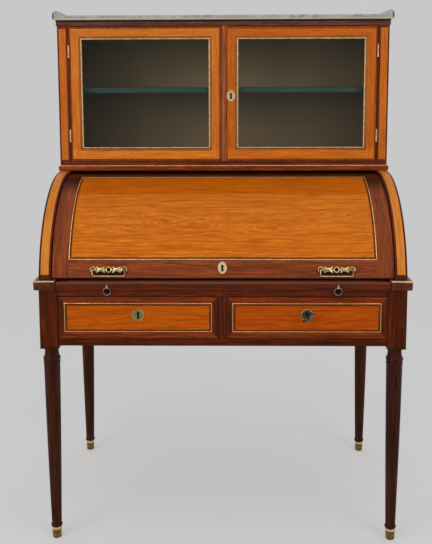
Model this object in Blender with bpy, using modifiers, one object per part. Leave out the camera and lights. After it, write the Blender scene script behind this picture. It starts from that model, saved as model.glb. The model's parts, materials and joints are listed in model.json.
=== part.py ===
"""Bonheur du jour: a small writing desk with a cylinder front and a glazed cabinet on top.

Metres, +Z up. The desk faces -Y, stands on Z = 0 and is centred on its bounding box.
"""

import math

import bmesh
import bpy
from mathutils import Matrix, Vector

# Whole desk
WIDTH = 0.980  # over the leg blocks
DEPTH = 0.590  # over the leg blocks
GAP = 0.0003  # between two pieces that touch
OVERCUT = 0.010  # a cutter runs past the face that it opens by this
SIDES = (("left", -1), ("right", 1))

# Facets of round forms
TURNING_STEPS = 18
ARC_STEPS = 24
OVAL_STEPS = 28
ROD_STEPS = 16
FINE_STEPS = 12
CORNER_STEPS = 3
SMOOTH_BELOW = math.radians(35)  # edges bent less than this are shaded round
ROUND_ABOVE = math.radians(50)  # edges bent more than this take a rounding

# Legs and their brass sabots
BLOCK = 0.050  # square block at the top of a leg
BLOCK_FOOT = 0.0087  # the block hangs this far below the apron
LEG_TENON = 0.0125  # the turning runs this far up into the block
NECK_RADIUS = 0.0186
NECK_FLARE = 0.0010
NECK_HEIGHT = 0.0225
COVE_HEIGHT = 0.0075
COLLAR_RADIUS = 0.0233
COLLAR_HEIGHT = 0.0050
HOLLOW_RADIUS = 0.0205
HOLLOW_HEIGHT = 0.0042
LEG_RING_RADIUS = 0.0227
LEG_RING_HEIGHT = 0.0056
LEG_RING_CURVE = 0.0015
SHAFT_TOP_RADIUS = 0.0220
SHAFT_FOOT_RADIUS = 0.0135
SHAFT_STEPS = 4
TAPER_SWELL = 0.45  # 0 is a straight taper
ANKLE_RADIUS = 0.0158
ANKLE_HEIGHT = 0.0092
ANKLE_CURVE = 0.0030
SABOT_HEIGHT = 0.0318
SABOT_RIM_RADIUS = 0.0140
SABOT_RIM_HEIGHT = 0.0076
SABOT_RIM_CURVE = 0.0012
SABOT_FOOT_RADIUS = 0.0122
SABOT_TOE = 0.0040
SABOT_WALL = 0.0022
SABOT_SOLE = 0.0044

# Frieze with its two drawers
APRON_Z = 0.5603  # underside of the frieze
LOWER_RAIL = 0.0210
DRAWER_HEIGHT = 0.1144
UPPER_RAIL = 0.0202
RAIL_DEPTH = 0.022
FACE_REVEAL = 0.0015  # rails and drawers stand back from the leg blocks by this
APRON_THICKNESS = 0.018
SIDE_REVEAL = 0.003
BACK_THICKNESS = 0.012
DIVIDER_WIDTH = 0.0204
DUST_BOARD = 0.010
DRAWER_CLEARANCE = 0.0006
DRAWER_FRONT = 0.020
DRAWER_DEPTH = 0.500
DRAWER_BOX_DROP = 0.020  # the box is this much lower than the front
BOX_INSET = 0.0020
BOX_SIDE = 0.010
BOX_BOTTOM = 0.006

# Locks of the drawers
ESCUTCHEON_RADIUS = 0.0165
ESCUTCHEON_PLATE = 0.0016
ESCUTCHEON_LIFT = 0.0077  # keyhole above the middle of the drawer
KEYHOLE_RADIUS = 0.0034
KEYHOLE_SLOT = 0.0044
KEYHOLE_DROP = 0.0125
KEYHOLE_DEPTH = 0.014
KEYHOLE_RISE = 0.0048  # its round end above the middle of an oval plate
KEY_SHANK_RADIUS = 0.0026
KEY_IN_LOCK = 0.011
KEY_NECK = 0.012  # shank between escutcheon and bow
KEY_COLLAR_RADIUS = 0.0042
KEY_COLLAR = 0.003
KEY_BOW_WIDTH = 0.034
KEY_BOW_LENGTH = 0.024
KEY_BOW_RIM = 0.0048
KEY_BOW_THICKNESS = 0.0036
KEY_TURN = math.radians(45)

# Writing slide and its ring pulls
SLIDE_THICKNESS = 0.0200
SLIDE_LENGTH = 0.530
LIP_DEPTH = 0.020
LIP_ROUNDING = 0.0035
BEARER_LEDGE = 0.016
BEARER_WEB = 0.0232
BEARER_DROP = 0.014
SLIDE_HEADROOM = 0.0010
PULL_INSET = 0.185  # from the leg block's outer face
STUD_RADIUS = 0.0036
STUD_END_RADIUS = 0.0030
STUD_LENGTH = 0.0065
STUD_DROP = 0.0074  # below the slide's top
EYE_RADIUS = 0.0032
EYE_WIDTH = 0.0044
EYE_REACH = 0.0040  # eye in front of the lip
EYE_DROP = 0.0046  # eye below the stud
RING_RADIUS = 0.0098
RING_WIRE = 0.00125
WIRE_CLEARANCE = 0.0005

# Top moulding with its corner caps
MOULDING_REACH = 0.0119
MOULDING_TUCK = 0.0010  # starts this far below the upper rail's top
BRASS_EDGE = 0.0055
CAP_WIDTH = 0.0453  # in from the leg block's outer face
CAP_DEPTH = 0.030
MOULDING_ROUNDING = 0.0042

# Cylinder, cheeks and pivots
CHEEK_RADIUS = 0.301
CHEEK_THICKNESS = 0.0322
AXIS_LIFT = 0.0008  # pivot above the drawer's top
CYLINDER_RECESS = 0.0055  # cylinder inside the cheeks' curve
SHELL_THICKNESS = 0.018
SHELL_END_PLAY = 0.0022
REST_GAP = 0.0010
SHELL_TOP_ANGLE = math.radians(94)
ARM_THICKNESS = 0.011
ARM_CLEARANCE = 0.0045  # between bearer and arm
ARM_SPREAD = math.radians(52)
PIVOT_BOSS = 0.017
PIVOT_RADIUS = 0.010
PIVOT_PLAY = 0.0004
PIVOT_BITE = 0.011  # of the pivot in the side apron
OVAL_ANGLE = math.radians(14.6)
OVAL_WIDTH = 0.0240
OVAL_HEIGHT = 0.0330

# Gilt handles on the cylinder
HANDLE_INSET = 0.1865  # from the leg block's outer face
HANDLE_ANGLE = math.radians(13.6)
HANDLE_RING = 0.0067
HANDLE_RING_WIRE = 0.0019
CRESCENT_X = 0.0215
CRESCENT_RADIUS = 0.0118
CRESCENT_SPREAD = math.radians(62)
CRESCENT_WIRE = 0.0024
CRESCENT_TIP = 0.60  # of that wire
CRESCENT_BELLY = 1.50
CRESCENT_RELIEF = 0.60  # 1 is as thick as it is wide
CRESCENT_STEPS = 8
SCROLL_X = 0.0415
SCROLL_RADIUS = 0.0072
SCROLL_WIRE = 0.0017
SCROLL_START = math.radians(-40)
SCROLL_END = math.radians(220)
LINK_WIRE = 0.0016
POST_X = 0.0385
POST_RADIUS = 0.0023
BAIL_HEIGHT = 0.0080  # bail pivot above the cylinder
BAIL_DROP = 0.0180
BAIL_WIRE = 0.0020
BAIL_CORNER = 0.0028
BAIL_PIN = 0.0010
PIN_CLEARANCE = 0.0005
PIN_BITE = 0.0062

# Pigeonholes inside the cylinder
NEST_FRONT = 0.245  # behind the leg blocks' front
NEST_DEPTH = 0.200
NEST_HEIGHT = 0.158
NEST_BOARD = 0.008
NEST_BAY = 0.285  # width of an outer bay
NEST_DRAWER_HEIGHT = 0.058
SMALL_DRAWER_WALL = 0.006
KNOB_RADIUS = 0.0060
KNOB_STEM_RADIUS = 0.0030
KNOB_REACH = 0.0084  # middle of the knob in front of its drawer

# Glazed cabinet
CABINET_STEP = 0.019  # cabinet front behind the top of the cheeks' curve
BASE_BOARD = 0.0172
BASE_OVERHANG = 0.0055
BASE_ROUNDING = 0.0040
BASE_RAIL = 0.0120
BASE_TENON = 0.0043  # the floor runs this far down into the base
STILE_WIDTH = 0.0322
STILE_DEPTH = 0.024
PANEL_THICKNESS = 0.016
CABINET_BACK = 0.010
SHELF_LIFT = 0.2040  # shelf above the cabinet floor
SHELF_THICKNESS = 0.015
SHELF_SETBACK = 0.042
SHELF_HOUSING = 0.006
CORNICE_HEIGHT = 0.0168
CORNICE_OVERHANG = 0.0025
MARBLE_THICKNESS = 0.0135
MARBLE_OVERHANG = 0.0118
MARBLE_LIP = 0.0190
MARBLE_LIP_WIDTH = 0.0150
MARBLE_ROUNDING = 0.0045
LIP_START = 0.012  # the lip starts to rise this far behind the front
LIP_RISE = 0.065  # and takes this length to reach its height

# Doors of the cabinet
DOOR_HEIGHT = 0.3994
DOOR_CLEARANCE = 0.0006
DOOR_THICKNESS = 0.022
DOOR_MEETING_X = -0.0035
DOOR_MEETING_GAP = 0.0016
DOOR_STILE = 0.0380
LOCK_STILE = 0.0358  # beside the astragal
ASTRAGAL_WIDTH = 0.0130
ASTRAGAL_PROUD = 0.0025
DOOR_TOP_RAIL = 0.0397
DOOR_BOTTOM_RAIL = 0.0414
BEAD_WIDTH = 0.0050
BEAD_SEAT = 0.0040
SPLAY_WIDTH = 0.0055  # sloping edge between the frame's face and the bead
SPLAY_DEPTH = 0.0025
GLASS_SEAT = 0.0100  # glass behind the door's face
GLASS_REBATE = 0.0060
GLASS_THICKNESS = 0.003
HINGE_GAP = 0.0019  # between stile and door
HINGE_HEIGHT = 0.038
HINGE_RADIUS = 0.0025
HINGE_LEAF = 0.0012
HINGE_LEAF_DEPTH = 0.016
UPPER_HINGE_DROP = 0.0735  # from the door's edge to the middle of the hinge
LOWER_HINGE_RISE = 0.0762
DOOR_OVAL_INSET = 0.0267  # from the door's meeting edge
DOOR_OVAL_WIDTH = 0.0256
DOOR_OVAL_HEIGHT = 0.0340
DOOR_OVAL_RISE = 0.1945  # above the door's lower edge

# Levels and planes that follow from the sizes
KEY_REACH = ESCUTCHEON_PLATE + KEY_NECK + KEY_BOW_LENGTH
FRONT = (KEY_REACH - DEPTH) / 2
BACK = FRONT + DEPTH
HALF = WIDTH / 2
BLOCK_IN = HALF - BLOCK
APRON_IN = HALF - SIDE_REVEAL - APRON_THICKNESS
CHEEK_IN = HALF - CHEEK_THICKNESS
BACK_FACE = BACK - SIDE_REVEAL - BACK_THICKNESS
FACE = FRONT + FACE_REVEAL
RAIL_BACK = FACE + RAIL_DEPTH
DRAWER_Z = APRON_Z + LOWER_RAIL
DRAWER_TOP = DRAWER_Z + DRAWER_HEIGHT
RAIL_TOP = DRAWER_TOP + UPPER_RAIL
SLIDE_Z = RAIL_TOP + GAP
SLIDE_TOP = SLIDE_Z + SLIDE_THICKNESS
MOULDING_Z = RAIL_TOP - MOULDING_TUCK
MOULDING_TOP = SLIDE_TOP + BRASS_EDGE
LEG_TOP = MOULDING_Z - GAP
LIP_FACE = FRONT - MOULDING_REACH
CAP_IN = HALF - CAP_WIDTH
BEARER_OUT = BLOCK_IN - 2 * GAP
BEARER_IN = BEARER_OUT - BEARER_WEB
ARM_IN = BEARER_OUT + ARM_CLEARANCE
ARM_OUT = ARM_IN + ARM_THICKNESS
AXIS = Vector((0, FRONT + CHEEK_RADIUS, DRAWER_TOP + AXIS_LIFT))
SHELL_RADIUS = CHEEK_RADIUS - CYLINDER_RECESS
SHELL_IN = SHELL_RADIUS - SHELL_THICKNESS
SHELL_Z = MOULDING_TOP + REST_GAP
CHEEK_TOP = AXIS.z + CHEEK_RADIUS
CABINET_FACE = AXIS.y + CABINET_STEP
BASE_Z = CHEEK_TOP + GAP
BASE_TOP = BASE_Z + BASE_BOARD
FLOOR_TOP = BASE_TOP + BASE_RAIL
DOOR_Z = FLOOR_TOP + DOOR_CLEARANCE
DOOR_TOP = DOOR_Z + DOOR_HEIGHT
CORNICE_Z = DOOR_TOP + DOOR_CLEARANCE
CORNICE_TOP = CORNICE_Z + CORNICE_HEIGHT
MARBLE_Z = CORNICE_TOP + GAP
MARBLE_TOP = MARBLE_Z + MARBLE_THICKNESS
STILE_IN = HALF - STILE_WIDTH
PANEL_IN = HALF - PANEL_THICKNESS
CABINET_BACK_FACE = BACK - SIDE_REVEAL - CABINET_BACK
SHELF_Z = FLOOR_TOP + SHELF_LIFT
LOCK_Z = (DRAWER_Z + DRAWER_TOP) / 2 + ESCUTCHEON_LIFT
HANDLE_X = HALF - HANDLE_INSET
PULL_X = HALF - PULL_INSET

# Colours seen in the photograph
MAHOGANY = ("mahogany", (0.165, 0.040, 0.018), 0.32, 0.0)
SATINWOOD = ("satinwood", (0.560, 0.185, 0.030), 0.28, 0.0)
OAK = ("oak lining", (0.300, 0.180, 0.085), 0.55, 0.0)
BRASS = ("gilt brass", (0.640, 0.430, 0.160), 0.28, 1.0)
OLD_BRASS = ("aged brass", (0.330, 0.230, 0.100), 0.38, 1.0)
STEEL = ("bright steel", (0.480, 0.470, 0.450), 0.30, 1.0)
MARBLE = ("grey-white marble", (0.560, 0.530, 0.480), 0.22, 0.0)
GLASS = ("pane glass", (0.900, 0.930, 0.920), 0.05, 0.0)
LINING = ("taupe lining", (0.120, 0.095, 0.068), 0.85, 0.0)
SHELF_PAINT = ("blue-green shelf edge", (0.045, 0.085, 0.090), 0.50, 0.0)


def new_collection(name):
    collection = bpy.data.collections.new(name)
    bpy.context.scene.collection.children.link(collection)
    return collection


def clear_scene():
    for obj in list(bpy.data.objects):
        bpy.data.objects.remove(obj, do_unlink=True)


def material_of(finish):
    name, colour, roughness, metallic = finish
    material = bpy.data.materials.get(name)
    if material is None:
        material = bpy.data.materials.new(name)
        material.use_nodes = True
        shader = material.node_tree.nodes["Principled BSDF"]
        shader.inputs["Base Color"].default_value = (*colour, 1.0)
        shader.inputs["Roughness"].default_value = roughness
        shader.inputs["Metallic"].default_value = metallic
    return material


def add_piece(name, mesh, finish, at=(0, 0, 0), parent=None):
    """A piece from a mesh already in its place in the desk, with its origin at a given point."""
    mesh.transform(Matrix.Translation(at).inverted())
    mesh.name = name
    mesh.materials.append(material_of(finish))
    obj = bpy.data.objects.new(name, mesh)
    parts.objects.link(obj)
    ride(obj, at, parent)
    return obj


def add_cutter(name, mesh):
    mesh.name = name
    obj = bpy.data.objects.new(name, mesh)
    cutters.objects.link(obj)
    obj.hide_render = True
    obj.display_type = "WIRE"
    return obj


def ride(obj, at, parent):
    """Puts an object at a point of the desk, carried by its parent and by what carries that."""
    obj.parent = parent
    obj.location = at
    while parent is not None:
        obj.location -= parent.location
        parent = parent.parent


def joint_empty(name, at, parent=None):
    """An empty on a joint's axis, which its moving pieces hang from."""
    empty = bpy.data.objects.new(name, None)
    empty.empty_display_size = BLOCK
    parts.objects.link(empty)
    ride(empty, at, parent)
    return empty


def mesh_from(bm):
    mesh = bpy.data.meshes.new("piece")
    bm.to_mesh(mesh)
    bm.free()
    return mesh


def smoothed(mesh):
    mesh.shade_smooth()
    mesh.set_sharp_from_angle(angle=SMOOTH_BELOW)
    return mesh


def box_mesh(low, high):
    low, high = Vector(low), Vector(high)
    bm = bmesh.new()
    bmesh.ops.create_cube(bm, size=1.0)
    bmesh.ops.scale(bm, vec=high - low, verts=bm.verts)
    bmesh.ops.translate(bm, vec=(low + high) / 2, verts=bm.verts)
    return mesh_from(bm)


def splayed(mesh, more):
    """A box-shaped cutter made wider at its front, so that it leaves a sloping edge."""
    middle = sum((knot.co for knot in mesh.vertices), Vector()) / len(mesh.vertices)
    for knot in mesh.vertices:
        if knot.co.y < middle.y:
            knot.co.x += math.copysign(more, knot.co.x - middle.x)
            knot.co.z += math.copysign(more, knot.co.z - middle.z)
    return mesh


def rod_mesh(start, end, radius, steps=ROD_STEPS, end_radius=None):
    start, end = Vector(start), Vector(end)
    bm = bmesh.new()
    bmesh.ops.create_cone(
        bm,
        cap_ends=True,
        segments=steps,
        radius1=radius,
        radius2=radius if end_radius is None else end_radius,
        depth=(end - start).length,
    )
    aim = (end - start).to_track_quat("Z", "Y").to_matrix().to_4x4()
    bm.transform(Matrix.Translation((start + end) / 2) @ aim)
    return smoothed(mesh_from(bm))


def ball_mesh(centre, radius):
    bm = bmesh.new()
    bmesh.ops.create_uvsphere(bm, u_segments=FINE_STEPS, v_segments=FINE_STEPS // 2, radius=radius)
    bmesh.ops.translate(bm, vec=Vector(centre), verts=bm.verts)
    return smoothed(mesh_from(bm))


def mesh_of_curve(curve, place):
    """The mesh of a curve, with its caps welded on, in world place."""
    obj = bpy.data.objects.new("outline", curve)
    cutters.objects.link(obj)
    obj.matrix_world = place
    graph = bpy.context.evaluated_depsgraph_get()
    mesh = bpy.data.meshes.new_from_object(obj.evaluated_get(graph))
    bm = bmesh.new()
    bm.from_mesh(mesh)
    bmesh.ops.remove_doubles(bm, verts=bm.verts, dist=GAP / 100)
    bmesh.ops.recalc_face_normals(bm, faces=bm.faces)
    bm.to_mesh(mesh)
    bm.free()
    mesh.transform(place)
    bpy.data.objects.remove(obj, do_unlink=True)
    return smoothed(mesh)


PLANES = {
    "X": Matrix(((0, 0, 1), (1, 0, 0), (0, 1, 0))),
    "Y": Matrix(((1, 0, 0), (0, 0, -1), (0, 1, 0))),
    "Z": Matrix.Identity(3),
}


def outline_mesh(outlines, along, start, end, place=None):
    """A flat outline, with any holes, extruded from start to end along an axis."""
    curve = bpy.data.curves.new("outline", "CURVE")
    curve.dimensions = "2D"
    curve.fill_mode = "BOTH"
    curve.extrude = abs(end - start) / 2
    for points in outlines:
        spline = curve.splines.new("POLY")
        spline.points.add(len(points) - 1)
        for knot, (u, v) in zip(spline.points, points):
            knot.co = (u, v, 0, 1)
        spline.use_cyclic_u = True
    if place is None:
        middle = {"X": 0, "Y": 1, "Z": 2}[along]
        shift = Vector((0, 0, 0))
        shift[middle] = (start + end) / 2
        place = Matrix.Translation(shift) @ PLANES[along].to_4x4()
    return mesh_of_curve(curve, place)


def wire_mesh(points, radius, widths=None, cyclic=False, resolution=1):
    curve = bpy.data.curves.new("wire", "CURVE")
    curve.dimensions = "3D"
    curve.bevel_depth = radius
    curve.bevel_resolution = resolution
    curve.use_fill_caps = True
    spline = curve.splines.new("POLY")
    spline.points.add(len(points) - 1)
    for i, (knot, point) in enumerate(zip(spline.points, points)):
        knot.co = (*point, 1)
        knot.radius = 1.0 if widths is None else widths[i]
    spline.use_cyclic_u = cyclic
    return mesh_of_curve(curve, Matrix.Identity(4))


def arc(centre, radius, start, end, steps):
    """Points of an arc, turned from the first axis of its plane to the second."""
    return [
        (
            centre[0] + radius * math.cos(start + (end - start) * i / steps),
            centre[1] + radius * math.sin(start + (end - start) * i / steps),
        )
        for i in range(steps + 1)
    ]


def ellipse(centre, width, height):
    turns = [math.tau * i / OVAL_STEPS for i in range(OVAL_STEPS)]
    return [(centre[0] + width / 2 * math.cos(t), centre[1] + height / 2 * math.sin(t)) for t in turns]


def circle(radius, steps):
    """Points of a closed ring about the origin."""
    return arc((0, 0), radius, 0, math.tau, steps)[:-1]


def keyhole(centre):
    """A round hole with a slot below it."""
    half = math.asin(KEYHOLE_SLOT / 2 / KEYHOLE_RADIUS)
    ring = arc(centre, KEYHOLE_RADIUS, half - math.pi / 2, math.pi * 3 / 2 - half, FINE_STEPS)
    foot = centre[1] - KEYHOLE_DROP
    return ring + [(centre[0] - KEYHOLE_SLOT / 2, foot), (centre[0] + KEYHOLE_SLOT / 2, foot)]


def rolled(point_angle, radius):
    """Y and Z of a point of the cylinder, from the angle above the level through its pivot."""
    return AXIS.y - radius * math.cos(point_angle), AXIS.z + radius * math.sin(point_angle)


def cylinder_arc(radius, start, end, steps):
    return [rolled(start + (end - start) * i / steps, radius) for i in range(steps + 1)]


def boolean(obj, operation, mesh, name, solver="EXACT"):
    modifier = obj.modifiers.new(name, "BOOLEAN")
    modifier.operation = operation
    modifier.solver = solver
    modifier.object = add_cutter(name, mesh)


def cut(obj, mesh, what):
    boolean(obj, "DIFFERENCE", mesh, f"{obj.name}_{what}")


def join(obj, mesh, what):
    boolean(obj, "UNION", mesh, f"{obj.name}_{what}")


def round_edges(obj, width, segments=2):
    smoothed(obj.data)
    bevel = obj.modifiers.new("rounded edges", "BEVEL")
    bevel.width = width
    bevel.segments = segments
    bevel.limit_method = "ANGLE"
    bevel.angle_limit = ROUND_ABOVE
    bevel.harden_normals = True


def box_piece(name, low, high, finish, at=None, parent=None):
    if at is None:
        at = (Vector(low) + Vector(high)) / 2
    return add_piece(name, box_mesh(low, high), finish, at, parent)


def turned_piece(name, profile, at, finish):
    """A turned piece: its profile runs from the top to the bottom."""
    bm = bmesh.new()
    knots = [bm.verts.new((radius, 0, height)) for radius, height in profile]
    for upper, lower in zip(knots, knots[1:]):
        bm.edges.new((upper, lower))
    obj = bpy.data.objects.new(name, mesh_from(bm))
    obj.location = at
    parts.objects.link(obj)
    obj.data.materials.append(material_of(finish))
    screw = obj.modifiers.new("turning", "SCREW")
    screw.steps = TURNING_STEPS
    screw.render_steps = TURNING_STEPS
    screw.use_merge_vertices = True
    screw.merge_threshold = GAP / 30
    return obj


def leg_profile():
    block_foot = APRON_Z - BLOCK_FOOT
    neck_foot = block_foot - NECK_HEIGHT
    collar_top = neck_foot - COVE_HEIGHT
    collar_foot = collar_top - COLLAR_HEIGHT
    ring_top = collar_foot - HOLLOW_HEIGHT
    ring_foot = ring_top - LEG_RING_HEIGHT
    shaft_top = ring_foot - LEG_RING_CURVE
    ankle_foot = SABOT_HEIGHT + GAP
    ankle_top = ankle_foot + ANKLE_HEIGHT
    stub = SABOT_FOOT_RADIUS - SABOT_WALL
    shaft = []
    for i in range(SHAFT_STEPS + 1):
        part = i / SHAFT_STEPS
        # The taper is slow under the collar and quicker towards the ankle.
        swell = part * (1 - TAPER_SWELL * (1 - part))
        radius = SHAFT_TOP_RADIUS + (SHAFT_FOOT_RADIUS - SHAFT_TOP_RADIUS) * swell
        shaft.append((radius, shaft_top + (ankle_top - shaft_top) * part))
    return [
        (0, block_foot + LEG_TENON),
        (NECK_RADIUS, block_foot + LEG_TENON),
        (NECK_RADIUS + NECK_FLARE, block_foot),
        (NECK_RADIUS, (block_foot + neck_foot) / 2),
        (NECK_RADIUS + NECK_FLARE, neck_foot),
        (HOLLOW_RADIUS, (neck_foot + collar_top) / 2),
        (COLLAR_RADIUS, collar_top),
        (COLLAR_RADIUS, collar_foot),
        (HOLLOW_RADIUS, (collar_foot + ring_top) / 2),
        (HOLLOW_RADIUS, ring_top),
        (LEG_RING_RADIUS, ring_top - LEG_RING_CURVE),
        (LEG_RING_RADIUS, ring_foot),
        *shaft,
        (ANKLE_RADIUS, ankle_top - ANKLE_CURVE),
        (ANKLE_RADIUS, ankle_foot + ANKLE_CURVE),
        (SHAFT_FOOT_RADIUS, ankle_foot),
        (stub, ankle_foot),
        (stub, SABOT_SOLE + GAP),
        (0, SABOT_SOLE + GAP),
    ]


def sabot_profile():
    bore = SABOT_FOOT_RADIUS - SABOT_WALL + GAP
    rim_foot = SABOT_HEIGHT - SABOT_RIM_HEIGHT
    return [
        (0, SABOT_SOLE),
        (bore, SABOT_SOLE),
        (bore, SABOT_HEIGHT),
        (SABOT_RIM_RADIUS - SABOT_RIM_CURVE / 2, SABOT_HEIGHT),
        (SABOT_RIM_RADIUS, SABOT_HEIGHT - SABOT_RIM_CURVE),
        (SABOT_RIM_RADIUS, rim_foot + SABOT_RIM_CURVE),
        (SABOT_RIM_RADIUS - SABOT_RIM_CURVE, rim_foot),
        (SABOT_FOOT_RADIUS, SABOT_TOE),
        (SABOT_FOOT_RADIUS - SABOT_RIM_CURVE / 2, 0),
        (0, 0),
    ]


def make_legs():
    for end, y in (("front", FRONT + BLOCK / 2), ("back", BACK - BLOCK / 2)):
        for side, sign in SIDES:
            at = Vector((sign * (HALF - BLOCK / 2), y, 0))
            leg = turned_piece(f"{end}_{side}_leg", leg_profile(), at, MAHOGANY)
            corner = Vector((BLOCK / 2, BLOCK / 2, 0))
            low = at - corner + Vector((0, 0, APRON_Z - BLOCK_FOOT))
            high = at + corner + Vector((0, 0, LEG_TOP))
            join(leg, box_mesh(low, high), "block")
            turned_piece(f"{end}_{side}_sabot", sabot_profile(), at, OLD_BRASS)


def make_frieze():
    for side, sign in SIDES:
        inner, outer = sorted((sign * APRON_IN, sign * (HALF - SIDE_REVEAL)))
        apron = box_piece(
            f"{side}_side_apron",
            (inner, FRONT + BLOCK + GAP, APRON_Z),
            (outer, BACK - BLOCK - GAP, LEG_TOP),
            MAHOGANY,
        )
        hole = rod_mesh(
            (sign * (APRON_IN - PIVOT_BITE), AXIS.y, AXIS.z),
            (sign * (APRON_IN + PIVOT_BITE + PIVOT_PLAY), AXIS.y, AXIS.z),
            PIVOT_RADIUS + PIVOT_PLAY,
            TURNING_STEPS,
        )
        cut(apron, hole, "pivot_hole")

    rail_half = BLOCK_IN - GAP
    box_piece(
        "lower_front_rail",
        (-rail_half, FACE, APRON_Z),
        (rail_half, RAIL_BACK, DRAWER_Z - GAP),
        MAHOGANY,
    )
    box_piece(
        "upper_front_rail",
        (-rail_half, FACE, DRAWER_TOP + GAP),
        (rail_half, RAIL_BACK, RAIL_TOP),
        MAHOGANY,
    )
    box_piece(
        "drawer_divider",
        (-DIVIDER_WIDTH / 2, FACE, DRAWER_Z),
        (DIVIDER_WIDTH / 2, BACK_FACE - GAP, DRAWER_TOP),
        MAHOGANY,
    )
    board_half = APRON_IN - GAP
    notch, rear = FRONT + BLOCK + GAP, BACK - BLOCK - GAP
    plan = [(rail_half, RAIL_BACK + GAP), (rail_half, notch), (board_half, notch), (board_half, rear)]
    plan += [(rail_half, rear), (rail_half, BACK_FACE - GAP)]
    plan += [(-x, y) for x, y in reversed(plan)]
    board_top = DRAWER_Z - GAP
    mesh = outline_mesh([plan], "Z", board_top - DUST_BOARD, board_top)
    add_piece("dust_board", mesh, OAK, (0, RAIL_BACK, board_top))
    wide = CHEEK_IN - GAP
    step = LEG_TOP + GAP
    outline = [(-rail_half, APRON_Z), (rail_half, APRON_Z), (rail_half, step), (wide, step)]
    outline += [(wide, CHEEK_TOP), (-wide, CHEEK_TOP), (-wide, step), (-rail_half, step)]
    mesh = outline_mesh([outline], "Y", BACK_FACE, BACK_FACE + BACK_THICKNESS)
    add_piece("desk_back", mesh, OAK, (0, BACK_FACE, APRON_Z))

    for side, sign in SIDES:
        ledge_z = RAIL_TOP - BEARER_DROP
        web_top = SLIDE_TOP + SLIDE_HEADROOM
        section = [(BEARER_IN - BEARER_LEDGE, ledge_z), (BEARER_OUT, ledge_z), (BEARER_OUT, web_top)]
        section += [(BEARER_IN, web_top), (BEARER_IN, RAIL_TOP), (BEARER_IN - BEARER_LEDGE, RAIL_TOP)]
        section = [(sign * x, z) for x, z in section]
        mesh = outline_mesh([section], "Y", RAIL_BACK + GAP, BACK_FACE - GAP)
        add_piece(f"{side}_slide_bearer", mesh, MAHOGANY, (sign * BEARER_IN, RAIL_BACK, ledge_z))

        outer = HALF + MOULDING_REACH
        plan = [(outer, LIP_FACE), (outer, BACK), (CHEEK_IN, BACK), (CHEEK_IN, FRONT + CAP_DEPTH)]
        plan += [(CAP_IN, FRONT + CAP_DEPTH), (CAP_IN, LIP_FACE)]
        mesh = outline_mesh([[(sign * x, y) for x, y in plan]], "Z", MOULDING_Z, MOULDING_TOP)
        moulding = add_piece(f"{side}_top_moulding", mesh, MAHOGANY, (sign * HALF, FRONT, MOULDING_Z))
        round_edges(moulding, MOULDING_ROUNDING)


def make_drawers():
    for side, sign in SIDES:
        inner, outer = DIVIDER_WIDTH / 2 + DRAWER_CLEARANCE, BLOCK_IN - DRAWER_CLEARANCE
        low_x, high_x = sorted((sign * inner, sign * outer))
        middle = (low_x + high_x) / 2
        travel = joint_empty(f"{side}_drawer_runs", (middle, FACE, DRAWER_Z))
        foot, top = DRAWER_Z + GAP, DRAWER_TOP - DRAWER_CLEARANCE
        front = box_piece(
            f"{side}_drawer_front",
            (low_x, FACE, foot),
            (high_x, FACE + DRAWER_FRONT, top),
            SATINWOOD,
            travel.location,
            travel,
        )
        hole = keyhole((middle, LOCK_Z))
        cut(front, outline_mesh([hole], "Y", FACE - OVERCUT, FACE + KEYHOLE_DEPTH), "keyhole")

        back_y = FACE + DRAWER_FRONT + GAP
        box = box_piece(
            f"{side}_drawer_box",
            (low_x + BOX_INSET, back_y, foot),
            (high_x - BOX_INSET, FACE + DRAWER_DEPTH, top - DRAWER_BOX_DROP),
            OAK,
            travel.location,
            travel,
        )
        hollow = box_mesh(
            (low_x + BOX_INSET + BOX_SIDE, back_y + BOX_BOTTOM, foot + BOX_BOTTOM),
            (high_x - BOX_INSET - BOX_SIDE, FACE + DRAWER_DEPTH - BOX_SIDE, top),
        )
        cut(box, hollow, "hollow")

        plate_back = FACE - GAP
        disc = ellipse((middle, LOCK_Z), ESCUTCHEON_RADIUS * 2, ESCUTCHEON_RADIUS * 2)
        plate = outline_mesh([disc, hole], "Y", plate_back - ESCUTCHEON_PLATE, plate_back)
        add_piece(f"{side}_drawer_escutcheon", plate, OLD_BRASS, (middle, plate_back, LOCK_Z), travel)
        if side == "right":
            make_key(Vector((middle, plate_back - ESCUTCHEON_PLATE, LOCK_Z)), travel)


def make_key(mouth, drawer):
    """The key in the right drawer's lock, with its bow turned part of the way round."""
    spindle = joint_empty("key_turns", mouth, drawer)
    out = Vector((0, -1, 0))
    across = Vector((math.sin(KEY_TURN), 0, math.cos(KEY_TURN)))
    frame = Matrix((across, out, across.cross(out))).transposed()
    reach = FRONT - KEY_REACH
    bow_middle = Vector((mouth.x, reach + KEY_BOW_LENGTH / 2, mouth.z))
    place = Matrix.Translation(bow_middle) @ frame.to_4x4()
    outer = ellipse((0, 0), KEY_BOW_WIDTH, KEY_BOW_LENGTH)
    inner = ellipse((0, 0), KEY_BOW_WIDTH - 2 * KEY_BOW_RIM, KEY_BOW_LENGTH - 2 * KEY_BOW_RIM)
    bow = outline_mesh([outer, inner], "Z", 0, KEY_BOW_THICKNESS, place)
    key = add_piece("drawer_key", bow, STEEL, mouth, spindle)
    neck_y = reach + KEY_BOW_LENGTH - KEY_BOW_RIM / 2
    tip_y = mouth.y + ESCUTCHEON_PLATE + KEY_IN_LOCK
    shank = rod_mesh((mouth.x, tip_y, mouth.z), (mouth.x, neck_y, mouth.z), KEY_SHANK_RADIUS)
    join(key, shank, "shank")
    collar_end = Vector((mouth.x, reach + KEY_BOW_LENGTH, mouth.z))
    collar = rod_mesh(collar_end - KEY_COLLAR * out, collar_end, KEY_COLLAR_RADIUS)
    join(key, collar, "collar")


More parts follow.
